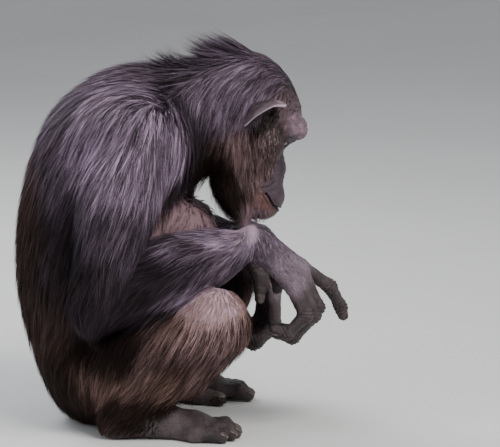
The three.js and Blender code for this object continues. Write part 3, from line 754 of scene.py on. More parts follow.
def refined(piece, mask):
    """Halves the edges between points that a mask picks."""

    def halve(mesh):
        picked = [e for e in mesh.edges if mask[e.verts[0].index] and mask[e.verts[1].index]]
        bmesh.ops.subdivide_edges(mesh, edges=picked, cuts=1, use_grid_fill=True)

    return reworked(piece, halve)


def projected(points):
    for _ in range(2):
        _, out = sample(points)
        points = points - out * skin_form(points)[:, None]
    return points


# Creases of the face, each a line of points in the head's frame, with its depth and width
MOUTH_LINE = [(141, 0, -49), (137, 14, -49), (128, 27, -49), (117, 36, -49), (108, 42, -50)]
CREASES = [
    (MOUTH_LINE, 5.0, 1.5),
    ([(92, 15, -10), (100, 24, -24), (103, 34, -38), (98, 43, -52), (90, 50, -66)], 1.6, 2.2),
    ([(104, 20, -18), (111, 29, -32), (110, 38, -46)], 1.0, 1.8),
    ([(66, 10, 3), (62, 20, 2), (57, 33, 4), (48, 43, 10)], 1.4, 1.5),
    ([(73, 12, -2), (66, 23, -6), (58, 37, -5), (47, 48, 3)], 1.3, 1.6),
    ([(78, 16, -9), (71, 27, -14), (60, 42, -13), (48, 53, -5)], 1.0, 1.8),
    ([(58, 11, 29), (58, 22, 31), (54, 35, 29), (46, 44, 22)], 1.6, 1.6),
    ([(66, 0, 36), (68, 6, 29), (70, 9, 19)], 1.4, 2.0),
    ([(60, 0, 60), (58, 22, 61), (47, 44, 52)], 0.9, 2.0),
    ([(70, 2, 44), (71, 4, 54)], 1.0, 1.6),
    ([(134, 0, -80), (128, 20, -80), (114, 34, -82)], 1.2, 2.6),
]


def laid_on_skin(points):
    """A line of points of the head's frame, with more points between them, moved on to the skin."""
    legs = zip(points[:-1], points[1:])
    dense = [vec(a) + (vec(b) - vec(a)) * t for a, b in legs for t in np.arange(4) / 4]
    dense = projected(projected(vec([*dense, points[-1]]) @ HEAD_TURN + vec(HEAD_CENTRE)))
    return to_head(dense)


def line_distance(q, points):
    """Distance from a line that is laid on the skin, worked out only near it."""
    line = laid_on_skin(points)
    best = np.full(len(q), 99, np.float32)
    off = np.maximum(np.maximum(line.min(0) - q, q - line.max(0)), 0)
    close = length_of(off) < 12
    for a, b in zip(line[:-1], line[1:]):
        best[close] = np.minimum(best[close], bone(a, b, 0, 0)(q[close]))
    return best


def eye_opening(q):
    """0 at the middle of the slit between the lids and 1 at its edge."""
    eye = q - vec(EYE_PLACE)
    across = eye[:, 1] * 0.86 - eye[:, 0] * 0.5
    slit = np.hypot((across + 1.2) / SLIT_REACH[0], (eye[:, 2] + 1.4 - 0.06 * across) / SLIT_REACH[1])
    return np.where(eye[:, 0] > 0, slit, 9)


def face_relief(p):
    """How far the face's skin is pushed out of its plain form: creases, lids, nostrils and fine folds."""
    q = folded(p)
    height = np.zeros(len(p), np.float32)
    for points, depth, width in CREASES:
        d = line_distance(q, points)
        height -= depth * bell(d, width)
        height += depth * 0.3 * bell(d - 2.2 * width, width)
    opening = eye_opening(q)
    height -= SLIT_DEPTH * ramp(opening, 1.1, 0.9)
    height += 1.2 * bell(opening - 1.35, 0.22)
    nostril = length_of((q - vec(NOSTRIL_PLACE)) / vec(NOSTRIL_REACH))
    height -= NOSTRIL_DEPTH * ramp(nostril, 1.25, 0.5)
    height += 1.5 * bell(nostril - 1.8, 0.45)
    return (height - face_wrinkles(q)) * face_mark(p)


def furrows(x, spacing):
    """1 on the ridges between evenly spaced furrows, 0 at the bottom of each."""
    return np.abs(np.sin(x / spacing)) ** 0.5


def face_wrinkles(q):
    """Depths of the fine wrinkles: upright ones on the lips, and rings round the muzzle and the eyes."""
    lips = bell(q[:, 2] + 50, 22) * ramp(q[:, 0], 92, 112)
    fan = np.arctan2(q[:, 1], q[:, 0] - 70) * 40 + noise(q, 9, 3) * 5
    upright = furrows(fan, 2.3)
    rings = length_of((q - vec((122, 0, -50))) * vec((1, 0.9, 1))) + noise(q, 12, 4) * 9
    around = furrows(rings, 2.6) * ramp(rings, 26, 38)
    bags = length_of((q - vec(EYE_PLACE)) * vec((0.7, 0.8, 1))) + noise(q, 8, 5) * 3
    under = furrows(bags, 1.9) * ramp(bags, 10, 14) * ramp(bags, 30, 20)
    grain = np.abs(noise(q, 3.2, 6) - 0.5) * 2
    depth = 0.75 * (1 - upright) * lips + 0.8 * (1 - around) * (1 - lips)
    depth = depth + 0.8 * (1 - under) + 0.5 * (1 - grain) ** 3
    return depth * ramp(q[:, 0], 30, 56)


def digit_lines():
    for side in (RIGHT, LEFT):
        yield from side["fingers"].values()
        yield side["thumb"]
        yield from side["toes"].values()
        yield side["big_toe"]


KNUCKLE_REACH, KNUCKLE_RISE = 13, 2.3  # how wide a knuckle swells, and how far it stands out
FINE_KNUCKLE, FINE_EYE, FINE_NOSTRIL, FINE_MOUTH = 15, 19, 12, 6  # how far the finer mesh reaches
FOLD_DEPTH, WRINKLE_DEPTH = 1.3, 1.1
KNUCKLE_FOLD = 5.4  # from one cross fold of a knuckle to the next


def knuckle_folds(p):
    """How much each point swells with the knuckles, and how deep it lies in their cross folds."""
    swell, fold = np.zeros(len(p), np.float32), np.zeros(len(p), np.float32)
    for points in digit_lines():
        for before, knuckle, after in zip(points[:-2], points[1:-1], points[2:]):
            off = p - vec(knuckle)
            near_it = bell(length_of(off), KNUCKLE_REACH)
            along = off @ unit(vec(after) - vec(before))
            swell += near_it
            fold = np.maximum(fold, near_it * (0.5 - 0.5 * np.cos(along * 2 * math.pi / KNUCKLE_FOLD)))
    return swell, np.minimum(fold * 1.7, 1)


def hand_relief(p):
    """Knuckles, and the loose wrinkled skin of the hands and feet."""
    swell, fold = knuckle_folds(p)
    height = KNUCKLE_RISE * swell - FOLD_DEPTH * fold
    wrinkle = np.abs(noise(p, 6.0, 5) - 0.5) * 2
    height -= WRINKLE_DEPTH * (1 - wrinkle) ** 3
    return height * np.maximum(hand_mark(p), foot_mark(p))


def near_knuckle(p):
    fingers = [points for side in (RIGHT, LEFT) for points in side["fingers"].values()]
    distances = [length_of(p - vec(knuckle)) for points in fingers for knuckle in points[1:-1]]
    return np.minimum.reduce(distances) < FINE_KNUCKLE


def digit_length(p):
    """How far along its finger or toe each point lies, in millimetres, and how surely it is on one."""
    best, along = np.full(len(p), 1e3), np.zeros(len(p))
    for points in digit_lines():
        start = 0.0
        for a, b in zip(points[:-1], points[1:]):
            a, b = vec(a), vec(b)
            length = float(np.linalg.norm(b - a))
            t = (p - a) @ (b - a) / length
            off = length_of(p - a - np.clip(t, 0, length)[:, None] * (b - a) / length)
            closer = off < best
            best = np.where(closer, off, best)
            along = np.where(closer, start + np.clip(t, -4, length + 6), along)
            start += length
    return along, ramp(best, 26, 17)


def finer_skin(piece):
    """Halved edges on the face and the knuckles, and once more at the eyes, the nostrils and the mouth."""
    refined(piece, (face_mark(points_of(piece)) > 0.3) | near_knuckle(points_of(piece)))
    q = folded(points_of(piece))
    eye = length_of(q - vec(EYE_PLACE)) < FINE_EYE
    nostril = length_of(q - vec(NOSTRIL_PLACE)) < FINE_NOSTRIL
    refined(piece, eye | nostril | (line_distance(q, MOUTH_LINE) < FINE_MOUTH))


def make_skin():
    points, faces = surface_net(GRID)
    piece = thinned(mesh_piece("skin", projected(points), faces))
    finer_skin(piece)
    points = points_of(piece)
    fine = bare_mark(points) > 0.02
    points[fine] = projected(points[fine])
    points += smooth_outward(points, 3.0) * (face_relief(points) + hand_relief(points))[:, None]
    points[:, 2] = np.maximum(points[:, 2], FLOOR_CLEAR)
    set_points(piece, points)
    mark_skin(piece, points)
    return smoothed(piece)


def mark_skin(piece, points):
    """Marks that the skin's finish reads."""
    q = folded(points)
    lip = bell(line_distance(q, MOUTH_LINE), 13) * ramp(q[:, 2], -50, -56)
    along, on_digit = digit_length(points)
    dark = np.maximum(on_digit * ramp(along, 2, 30), foot_mark(points))
    # Painted shade in the eye socket under the brow and in the slit between the lids
    socket = 0.7 * spot(q, (60, 27, 22), (24, 34, 17))
    marks = {
        "face": face_mark(points), "brow": lit_pale_brow_mark(points),
        "lip": np.maximum(lip, 0.75 * chin_mark(points)),
        "slit": np.maximum(ramp(eye_opening(q), 1.5, 1.0), socket),
        # fold also carries painted shade into the knuckles' cross folds
        "hand": np.maximum(hand_mark(points), foot_mark(points)), "fold": knuckle_folds(points)[1],
        "digit": along, "on_digit": on_digit, "dark": dark,
        "pale": np.maximum(pale_mark(points), 0.1 * wrist_mark(points) * (1 - dark)),
        "brown": brown_mark(points), "front": front_mark(points),
    }
    for name, values in marks.items():
        set_mark(piece, name, values)


skin = make_skin()

# Coat
SEED = 20
STRANDS = 7  # in a tuft
TUFTS = 64000
KNOTS = 5  # points along a tuft's middle
ROWS = 2  # lengths of ribbon in a strand

# The lie of the coat, by region: a place's X, distance aside and Z, and which way the coat is combed there
LIE = {
    "torso": [
        (-60, 0, 560, -1, 0.1, -0.15), (-150, 0, 535, -1, 0.1, -0.6), (-205, 0, 470, -0.6, 0.1, -1),
        (-235, 0, 380, -0.25, 0.1, -1), (-250, 0, 280, -0.05, 0.05, -1), (-245, 0, 190, 0.12, 0, -1),
        (-215, 0, 90, 0.35, 0, -1), (-170, 0, 20, 0.5, 0, -1), (-100, 110, 530, -0.8, 0.3, -0.6),
        (-170, 110, 430, -0.5, 0.1, -1), (-130, 130, 330, -0.4, 0, -1), (-130, 130, 220, -0.2, 0, -1),
        (-120, 130, 110, -0.05, 0, -1), (-60, 110, 60, 0.1, 0, -1), (20, 50, 330, -0.3, 0.3, -1),
        (0, 100, 200, -0.1, 0, -1),
    ],
    "neck": [
        (10, 0, 565, -1, 0.1, 0.1), (-50, 0, 558, -1, 0.2, -0.15), (20, 60, 530, -0.45, 0.1, -0.9),
        (-20, 90, 500, -0.5, 0.2, -0.85), (40, 60, 470, -0.3, 0, -1), (60, 40, 410, -0.25, 0, -1),
    ],
    "head": [
        (200, 0, 490, -0.2, 0, 1), (193, 0, 505, -0.25, 0, 1), (187, 0, 518, -0.34, 0, 0.94),
        (174, 0, 545, -0.7, 0, 0.7), (155, 0, 575, -0.9, 0, 0.42), (100, 0, 600, -1, 0.05, 0.3),
        (50, 0, 590, -1, 0.2, 0.2), (150, 45, 552, -0.8, 0.2, -0.45), (118, 55, 566, -0.9, 0.2, -0.4),
        (128, 60, 533, -0.55, 0.1, -0.8), (88, 62, 548, -0.6, 0.15, -0.8),
        (60, 65, 524, -0.35, 0.1, -0.95), (80, 65, 500, -0.25, 0.1, -1), (60, 60, 470, -0.1, 0, -1),
        (168, 52, 520, -0.15, 0.1, -1), (150, 60, 505, -0.2, 0.1, -1), (187, 35, 485, -0.35, 0, -0.9),
        (144, 60, 467, -0.1, 0.05, -1), (125, 60, 445, -0.12, 0, -1), (95, 62, 456, -0.02, 0, -1),
        (62, 60, 440, 0.12, 0, -1), (80, 40, 380, 0.15, -0.1, -1), (125, 30, 359, 0.05, -0.1, -1),
        (110, 0, 345, 0, 0, -1),
    ],
    "upper_arm": [
        (-71, 150, 540, -0.7, 0.3, -0.8), (-17, 160, 524, -0.2, 0.2, -1),
        (-6, 180, 487, -0.05, 0.1, -1), (-17, 190, 401, -0.25, 0, -1), (-56, 200, 448, -0.45, 0, -1),
        (-102, 210, 370, -0.5, 0, -1), (-56, 210, 322, -0.5, 0, -1), (-118, 220, 244, -0.15, 0, -1),
        (-149, 200, 180, 0.3, 0, -1),
    ],
    "forearm": [
        (115, 140, 306, -1, 0, -0.1), (60, 170, 283, -1, 0.1, -0.4), (6, 190, 272, -0.95, 0.1, -0.45),
        (-56, 210, 236, -1, 0, -0.5), (22, 200, 228, -0.8, 0, -0.8), (-102, 210, 197, -0.7, 0, -0.6),
        (-125, 210, 157, -0.1, 0, -1),
    ],
    "thigh": [
        (80, 200, 235, 0.3, 0.3, -1), (37, 210, 222, -0.6, 0.2, -0.75), (-40, 190, 165, -0.6, 0, -1),
        (-102, 150, 134, -0.35, 0, -1), (-118, 130, 55, 0, 0, -1),
    ],
    "shin": [
        (91, 200, 197, -0.1, 0, -1), (102, 180, 134, -0.3, 0, -1), (76, 170, 71, -0.7, 0, -0.8),
        (37, 190, 134, -0.6, 0, -0.9), (-9, 180, 71, -0.8, 0, -0.6), (-71, 160, 24, -0.9, 0, -0.4),
    ],
    "hand": [(150, 90, 270, 0.8, 0, -0.6)],
    "foot": [(-60, 150, 30, -0.6, 0, -0.6), (20, 150, 20, 0.9, 0, -0.3)],
}
COMB_REACH = 38  # how far a stroke is felt
PARTING = 16  # how far from the middle line the coat turns fully aside

# By region: a strand's length and width, how dense the tufts are, and how far they may hang off the skin
COAT_VALUES = ("length", "width", "density", "hang")
COAT = {
    "torso": (76, 0.86, 1.0, 3), "neck": (60, 0.74, 1.5, 5), "head": (48, 0.54, 3.0, 7),
    "upper_arm": (78, 0.78, 1.3, 3), "forearm": (58, 0.7, 1.5, 9),
    "thigh": (62, 0.78, 1.1, 4), "shin": (54, 0.7, 1.3, 6),
    "hand": (18, 0.42, 1.5, 2), "foot": (14, 0.42, 1.4, 1),
}
REGIONS = list(COAT)


def part_region(name):
    """A part's name without its side."""
    return name.removesuffix("_right").removesuffix("_left")


def of_region(weights, value, kind=np.float32):
    """One of the coat's values at points, from how much of each region they feel."""
    column = COAT_VALUES.index(value)
    return weights @ np.array([COAT[region][column] for region in REGIONS], kind)


def part_of(p):
    """For each point, the part it belongs to, and how much of each region's comb it feels."""
    names = [n for n in PARTS if part_region(n) in COAT]
    distances = np.stack([PARTS[n](p) for n in names], 1)
    best = distances.argmin(1)
    share = np.exp(-(distances - distances.min(1, keepdims=True)) / 12)
    weights = np.zeros((len(p), len(REGIONS)), np.float32)
    for column, name in enumerate(names):
        weights[:, REGIONS.index(part_region(name))] += share[:, column]
    return np.array(names)[best], weights / weights.sum(1, keepdims=True)


def combed(p, weights):
    """The direction of the lie at points."""
    total = np.zeros_like(p)
    for column, region in enumerate(REGIONS):
        felt = weights[:, column] > 0.01
        q = p[felt]
        outwards = np.clip(q[:, 1, None] / PARTING, -1, 1) * vec((0, 1, 0)) + vec((1, 0, 1))
        pull = np.full((len(q), 3), 1e-9, np.float32)
        for stroke in LIE[region]:
            place, lie = vec(stroke[:3]), vec(stroke[3:])
            off = halved(q) - place
            share = np.exp(-(off * off * vec((1, 0.4, 1))).sum(1) / (2 * COMB_REACH**2)) + 1e-7
            pull += share[:, None] * unit(lie) * outwards
        total[felt] += unit(pull) * weights[felt, column, None]
    return unit(total)


def skin_corners(piece):
    piece.data.calc_loop_triangles()
    corners = np.zeros(len(piece.data.loop_triangles) * 3, np.int32)
    piece.data.loop_triangles.foreach_get("vertices", corners)
    return points_of(piece)[corners.reshape(-1, 3)]


def growth(p):
    """How dense the coat of each point's region is, and how much of it grows at the point."""
    _, weights = part_of(p)
    bare = bare_mark(p)
    density = of_region(weights, "density", float) * (1 + 1.2 * crest_mark(p) + 0.5 * thin_mark(p))
    return density, (1 - 0.97 * bare) * (bare < 0.97) + 0.09 * chin_mark(p)


def scattered(piece, count, rng):
    """Roots spread over the skin, closer together where the region's coat is denser."""
    a, b, c = np.moveaxis(skin_corners(piece), 1, 0)
    area = length_of(np.cross(b - a, c - a)) / 2
    middle = (a + b + c) / 3
    density, growing = growth(middle)
    chance = np.cumsum(area * density * ramp(middle[:, 2], 0, 10) * growing)
    picks = (np.arange(count) + rng.random(count)) / count * chance[-1]
    pick = np.minimum(np.searchsorted(chance, picks), len(a) - 1)
    u, v = rng.random((2, count, 1))
    flip = (u + v) > 1
    u, v = np.where(flip, 1 - u, u), np.where(flip, 1 - v, v)
    return (a[pick] + (b - a)[pick] * u + (c - a)[pick] * v).astype(np.float32)


def head_depth(p):
    """The head's coat is deep behind and below, and thin on the temples and above the brow."""
    return np.clip(2.2 - head_hair(to_head(p)), 2.2, 18)


CREST_LIE = (-0.86, 0, 0.77)
NAPE_LIE = (-0.3, 0, 1.0)


def crest_mark(p):
    """The long hair behind the crown, which sweeps up and back."""
    return spot(p, (100, 0, 588), (46, 42, 40))


def nape_mark(p):
    """The ruffled hair of the nape, which stands up."""
    return np.maximum(spot(p, (6, 0, 560), (18, 24, 26)), spot(p, (24, 0, 560), (52, 34, 34)) * 0.5)


def fine_mark(p):
    """Short fine hair above the brow and on the temples."""
    return spot(folded(p), (34, 30, 44), (46, 66, 56))


def beard_mark(p):
    """The long hair of the throat and the back of the jaw."""
    return spot(halved(p), (84, 30, 388), (46, 62, 60))


STRAY_SHARE, STRAY_REACH = 0.07, 6.0  # how many tufts stand away from the coat, and how far
CREST_REACH, BEARD_REACH = 90, 28  # how far off the skin the crest, the nape and the beard may hang


def coat_depth(roots, weights):
    """How deep the coat is over the skin at each root."""
    depth = weights @ np.array([COAT_DEPTH.get(region, 4) for region in REGIONS], np.float32)
    on_head = weights[:, REGIONS.index("head")]
    return depth * (1 - on_head) + head_depth(roots) * on_head


def plain_length(roots, weights, depth, rng):
    """Length of each tuft, shorter on bare and worn skin and where the head's coat is thin."""
    bare = bare_mark(roots) * (1 - chin_mark(roots))
    on_head = weights[:, REGIONS.index("head")]
    length = of_region(weights, "length") * (1 - 0.75 * bare) * (1 - 0.6 * thin_mark(roots))
    length = length * (0.8 + 0.4 * rng.random(len(roots)))
    return length * (1 - on_head * (1 - np.clip(0.4 + depth / 22, 0, 1)))


def kept_close(place, t, level, hang):
    """Knots at a share t of their tufts, moved where they lie too deep or stand too far off the skin."""
    value, out = sample(place)
    wanted = level * t**0.62 - 1.2 * (1 - t)
    value = value - np.clip(value, wanted * 0.8 - 0.3, wanted * 1.1 + hang * t * t + 0.5)
    place = place - out * value[:, None]
    place[:, 2] = np.maximum(place[:, 2], 1.5)
    return place, out


def tuft_paths(roots, weights, rng):
    """The middle line of each tuft: it leaves the skin, follows the lie, and keeps to the coat's depth."""
    count = len(roots)
    depth, thin, beard = coat_depth(roots, weights), thin_mark(roots), beard_mark(roots)
    length = plain_length(roots, weights, depth, rng)
    crest, nape = (mark(roots) * (0.25 + 0.75 * rng.random(count)) for mark in (crest_mark, nape_mark))
    length = length * (1 + 0.6 * crest + 0.7 * beard) * (1 - 0.5 * fine_mark(roots)) * (1 - 0.3 * nape)
    lift = crest[:, None] * vec(CREST_LIE) + nape[:, None] * vec(NAPE_LIE)
    stand = np.minimum(crest + nape, 1)
    level = (0.25 + 0.75 * rng.random(count) ** 0.7) * depth * (1 - 0.75 * thin)
    sway = rng.normal(0, 0.1, count) + (noise(roots, 26, 7) - 0.5) * 0.36
    stray = (rng.random(count) < STRAY_SHARE) * STRAY_REACH
    hang = of_region(weights, "hang") * (1 - thin) + stray + CREST_REACH * stand + BEARD_REACH * beard
    place, knots = roots, []
    for knot in range(KNOTS):
        t = knot / (KNOTS - 1)
        place, out = kept_close(place, t, level, hang)
        ahead = combed(place, weights) + (0, 0, -0.18 * t)
        ahead = unit(ahead - out * (ahead * out).sum(1, keepdims=True) * (1 - 0.6 * t * t))
        aside = unit(np.cross(out, ahead))
        ahead = unit(ahead * (1 - 0.75 * stand[:, None]) + aside * sway[:, None] + lift)
        knots.append((place, out, aside))
        place = place + ahead * (length / (KNOTS - 1))[:, None]
    lines = [np.stack(rows, 1) for rows in zip(*knots)]
    return *lines, length


def along(knots, t):
    """Points at shares t of lines of knots."""
    place = np.clip(t * (KNOTS - 1), 0, KNOTS - 1.001)
    i = place.astype(int)
    f = (place - i)[..., None]
    line = np.arange(len(knots))[:, None, None]
    return knots[line, i] * (1 - f) + knots[line, i + 1] * f


# How far a tuft's strands spread: its length for each millimetre, and the least and the most
SPREAD_LENGTH, SPREAD_RANGE = 21, (1.0, 3.6)
CURL, TWIST = 0.035, 0.75  # of a strand: to the side as a share of its length, and in radians


def strand_ribbons(paths, outs, asides, length, width, rng):
    """Points of the strands, shape (tufts, strands, 2 * ROWS + 1, 3): two at each row, one at the tip."""
    count = len(paths)
    shape = (count, STRANDS, 1)
    across, ahead = rng.uniform(-1, 1, shape), rng.uniform(-1, 1, shape)
    ratio = 1 - 0.45 * rng.random(shape) ** 1.4
    spread = np.clip(length / SPREAD_LENGTH, *SPREAD_RANGE)[:, None, None]
    curl = rng.normal(0, 1, shape) * length[:, None, None] * CURL
    rows = np.linspace(0, 1, ROWS + 1)
    t = rows * ratio
    middle, out, aside = (along(k, t) for k in (paths, outs, asides))
    side_step = across * spread * (1 - 0.55 * t) + curl * t * t
    rise = rng.uniform(-1, 1, shape) * spread * 0.35 * t
    middle = middle + aside * side_step[..., None] + out * rise[..., None]
    start = unit(paths[:, 1] - paths[:, 0])[:, None, None]
    middle = middle + start * (ahead * spread * (1 - 0.5 * t))[..., None]
    middle[..., 2] = np.maximum(middle[..., 2], 1.2)
    twist = rng.uniform(-TWIST, TWIST, shape)[..., None]
    flat = aside * np.cos(twist) + out * np.sin(twist)
    half = width[:, None, None] * (0.62 - 0.38 * rows) * (0.7 + 0.5 * rng.random(shape)) / 1.1
    left, right = middle - flat * half[..., None], middle + flat * half[..., None]
    pairs = np.stack([left[:, :, :ROWS], right[:, :, :ROWS]], 3).reshape(count, STRANDS, 2 * ROWS, 3)
    return np.concatenate([pairs, middle[:, :, ROWS:]], 2).astype(np.float32)


# Where each part's coat lies on the map of its colours: round the part and along it, in a tile of its own
TILES = 4  # in each row
PATCH = 0.003  # how wide a tuft's own patch is
TRUNK_LINES = {
    "torso": ((-112, 0, 0), (-112, 0, 600)), "neck": ((-60, 0, 480), (90, 0, 470)),
    "head": (head_point(-100, 0, 0), head_point(120, 0, -60)),
}
LIMB_ENDS = {
    "upper_arm": ("shoulder", "elbow"), "forearm": ("elbow", "wrist"), "thigh": ("hip", "knee"),
    "shin": ("knee", "ankle"), "hand": ("wrist", "wrist"), "foot": ("heel", "ball"),
}


def part_line(name):
    """The two ends of the line that a part's map is laid along; a hand's runs down from its wrist."""
    region = part_region(name)
    if region in TRUNK_LINES:
        return [vec(end) for end in TRUNK_LINES[region]]
    side, _ = SIDES[name.removeprefix(region + "_")]
    first, last = (side[end] for end in LIMB_ENDS[region])
    return vec(first), vec(vec(last) + (0, 0, -60 if region == "hand" else 1e-3))


def coat_map(roots, part):
    """Where each tuft lies on the map."""
    spots = np.zeros((len(roots), 2))
    for number, name in enumerate(sorted(set(part))):
        picked = part == name
        start, end = part_line(name)
        axis = end - start
        q = roots[picked] - start
        v = np.clip(q @ axis / (axis @ axis), -0.2, 1.2) / 1.4 + 0.15
        aside = unit(np.cross(axis, vec((0.3, 1, 0.2))))
        above = unit(np.cross(axis, aside))
        u = np.arctan2(q @ above, q @ aside) / (2 * math.pi) + 0.5
        tile = np.array([number % TILES, number // TILES]) + 0.02
        spots[picked] = (tile + 0.95 * np.stack([u, v], 1)) / TILES
    return spots


def tuft_tones(roots, sheen_and_pale, rng):
    """How light each strand is, from 0 to 1, darker in the painted shade and lifted by the painted sheen.
    """
    tone = rng.random((len(roots), 1)) * 0.45 + rng.random((len(roots), STRANDS)) * 0.4
    tone = tone + 0.15 * noise(roots * (1, 1, 0.5), 16, 31)[:, None]
    light = np.maximum.reduce([pale_mark(roots), chin_mark(roots) * 0.9, front_mark(roots) * 0.75])[:, None]
    # Painted shade darkens the strands in sheltered places; the pale patches lighten them
    tone = tone * (1 - 0.6 * painted_shade_mark(roots))[:, None] * (1 - 0.6 * light) + 0.55 * light
    # A painted sheen lifts the strands on the shoulders and crown
    return tone * (1 + 0.12 * sheen_and_pale**2)[:, None]


def coat_places(part, roots):
    """Which piece each tuft goes in: hands with forearms, feet with shins, torso and head in halves."""
    place = np.array([name.replace("hand", "forearm").replace("foot", "shin") for name in part])
    for whole in ("torso", "head"):
        split = place == whole
        place[split] = np.where(roots[split, 1] < 0, whole + "_right", whole + "_left")
    return place


def make_coat(piece):
    rng = np.random.default_rng(SEED)
    roots = scattered(piece, TUFTS, rng)
    part, weights = part_of(roots)
    paths, outs, asides, length = tuft_paths(roots, weights, rng)
    width = of_region(weights, "width") * (1 - 0.35 * thin_mark(roots) - 0.3 * chin_mark(roots))
    ribbons = strand_ribbons(paths, outs, asides, length, width, rng)
    spots = coat_map(roots, part)
    brown, sheen_and_pale = brown_mark(roots), sheen_and_pale_mark(roots)
    tone = tuft_tones(roots, sheen_and_pale, rng)
    place = coat_places(part, roots)
    pieces = []
    for name in sorted(set(place)):
        picked = place == name
        own = [values[picked] for values in (ribbons, spots, tone, brown, sheen_and_pale)]
        pieces.append(coat_piece(f"coat_{name}", *own))
    return pieces


def ribbon_faces():
    """Triangles of one strand, from the numbers of its points."""
    triangles = []
    for a in range(0, 2 * ROWS - 2, 2):
        triangles += [(a, a + 1, a + 3), (a, a + 3, a + 2)]
    return np.array([*triangles, (2 * ROWS - 2, 2 * ROWS - 1, 2 * ROWS)])


def coat_piece(name, ribbons, spots, tone, brown, sheen_and_pale):
    strands = ribbons.shape[0] * ribbons.shape[1]
    corners = 2 * ROWS + 1
    faces = (np.arange(strands)[:, None, None] * corners + ribbon_faces()).reshape(-1, 3)
    piece = mesh_piece(name, ribbons.reshape(-1, 3), faces)
    share = np.repeat(np.linspace(0, 1, ROWS + 1), 2)[:-1]
    set_mark(piece, "tip", np.tile(share, strands))
    set_mark(piece, "tone", np.repeat(tone.ravel(), corners))
    set_mark(piece, "brown", np.repeat(brown, STRANDS * corners))
    # The paler tips and painted sheen of each tuft
    set_mark(piece, "sheen_and_pale", np.repeat(sheen_and_pale, STRANDS * corners))
    across = (np.arange(STRANDS)[:, None] + 0.2 + 0.6 * (np.arange(corners) % 2)) / STRANDS
    patch = np.stack([across, np.broadcast_to(share, across.shape)], -1) * PATCH
    uv = (spots[:, None, None] + patch).reshape(-1, 2)
    layer = piece.data.uv_layers.new(name="OFBake")
    layer.data.foreach_set("uv", uv[faces.ravel()].astype(np.float32).ravel())
    return piece


coats = make_coat(skin)

# Ears, eyes and nails
EAR_SPOKES, EAR_RINGS, ROLL_RINGS = 80, 22, 9
EAR_ROLL = 2.7  # radius of the rolled rim
EAR_BOW = 9  # how far the rim bows backwards between its top and its lobe
CUP_EDGE = 0.84  # where the cup ends and the roll starts, as a share of the ear's reach
CUP_SLOPE = math.radians(38)


def grid_faces(rows, columns, closed):
    """Quads of a grid of points, joined into a ring of columns where it is closed."""
    across = columns if closed else columns - 1
    r, c = np.meshgrid(np.arange(rows - 1), np.arange(across), indexing="ij")
    a, b = r * columns + c, r * columns + (c + 1) % columns
    return np.stack([a, b, b + columns, a + columns], -1).reshape(-1, 4)


def spanned(*parts):
    """Points from pairs of a length for each point and a direction."""
    return sum(length[..., None] * way for length, way in parts).reshape(-1, 3)


def thickened(piece, depth):
    thick = piece.modifiers.new("thickness", "SOLIDIFY")
    thick.thickness, thick.offset = depth / 1000, 0
    return smoothed(applied(piece))


def bump_at(s, u, place, reach):
    return np.exp(-(((s - place[0]) / reach) ** 2 + ((u - place[1]) / reach) ** 2))


def ear_form():
    """Rows of points of an ear's middle sheet: ahead, outwards and above its place."""
    turn = np.linspace(0, 2 * math.pi, EAR_SPOKES, endpoint=False)[None]
    share = np.linspace(0.02, 1, EAR_RINGS)[:, None]
    top, outer = np.maximum(np.sin(turn), 0), np.maximum(np.cos(turn), 0)
    wide = EAR_REACH[0] * (1 - 0.24 * np.maximum(-np.sin(turn), 0) ** 2)
    s, u = share * CUP_EDGE * wide * np.cos(turn), share * CUP_EDGE * EAR_REACH[1] * np.sin(turn)
    cup = 8 * (share**2 - 1) + 0 * turn
    ridge = bell(share - 0.62, 0.1) * ramp(np.cos(turn) + 0.5 * np.sin(turn), -0.2, 0.5)
    cup = cup + 3.2 * ridge - 5 * bump_at(s, u, (-5, -8), 10) + 4.5 * bump_at(s, u, (-17, -9), 6)
    cup = cup + 2.2 * bump_at(s, u, (2, 13), 6)
    angle = CUP_SLOPE + np.linspace(0, math.radians(205), ROLL_RINGS + 1)[1:, None]
    size = EAR_ROLL * (0.4 + 0.85 * top**3 + 0.1 * outer) * (1 + 0.1 * np.sin(5 * turn + 1))
    grow = size * (np.sin(angle) - math.sin(CUP_SLOPE))
    roll_s = (CUP_EDGE * wide + grow) * np.cos(turn)
    roll_u = (CUP_EDGE * EAR_REACH[1] + grow) * np.sin(turn)
    roll = size * (math.cos(CUP_SLOPE) - np.cos(angle))
    ahead, s, u = np.vstack([cup, roll]), np.vstack([s, roll_s]), np.vstack([u, roll_u])
    bow = EAR_BOW * ((u / EAR_REACH[1]) ** 2 - 1)
    tip = 6 * ramp(u, 0.45 * EAR_REACH[1], EAR_REACH[1] * 1.05)
    return np.stack([ahead + bow + tip + 2, s, u], -1)


def make_ear(name, sense):
    rows = ear_form()
    middle = rows[0].mean(0)
    mirror = np.array((1, sense, 1))
    points = np.vstack([rows.reshape(-1, 3), middle]) * mirror + np.array(EAR_PLACE) * mirror
    points = points @ HEAD_TURN + vec(HEAD_CENTRE)
    piece = mesh_piece(f"ear_{name}_leaf", points, grid_faces(len(rows), EAR_SPOKES, True))
    fan_closed(piece, fan(np.arange(EAR_SPOKES), len(points) - 1), sense)
    # The cup's depth, which the ear's finish darkens as painted shade
    set_mark(piece, "cup", np.append(np.clip(-rows[..., 0].ravel() / 10, 0, 1), 1))
    set_mark(piece, "rim", np.append(np.repeat(np.linspace(0, 1, len(rows)), EAR_SPOKES), 0))
    return thickened(piece, EAR_THICKNESS)


def fan(ring, hub):
    """Triangles from a ring of points to a hub, by number."""
    return np.stack([np.roll(ring, -1), ring, np.full(len(ring), hub)], 1)


def fan_closed(piece, triangles, sense):
    """Closes a sheet's holes, and turns its faces over on the right side of the head."""

    def close(mesh):
        for corners in triangles.tolist():
            mesh.faces.new([mesh.verts[i] for i in corners])
        if sense < 0:
            bmesh.ops.reverse_faces(mesh, faces=mesh.faces)

    return smoothed(reworked(piece, close))


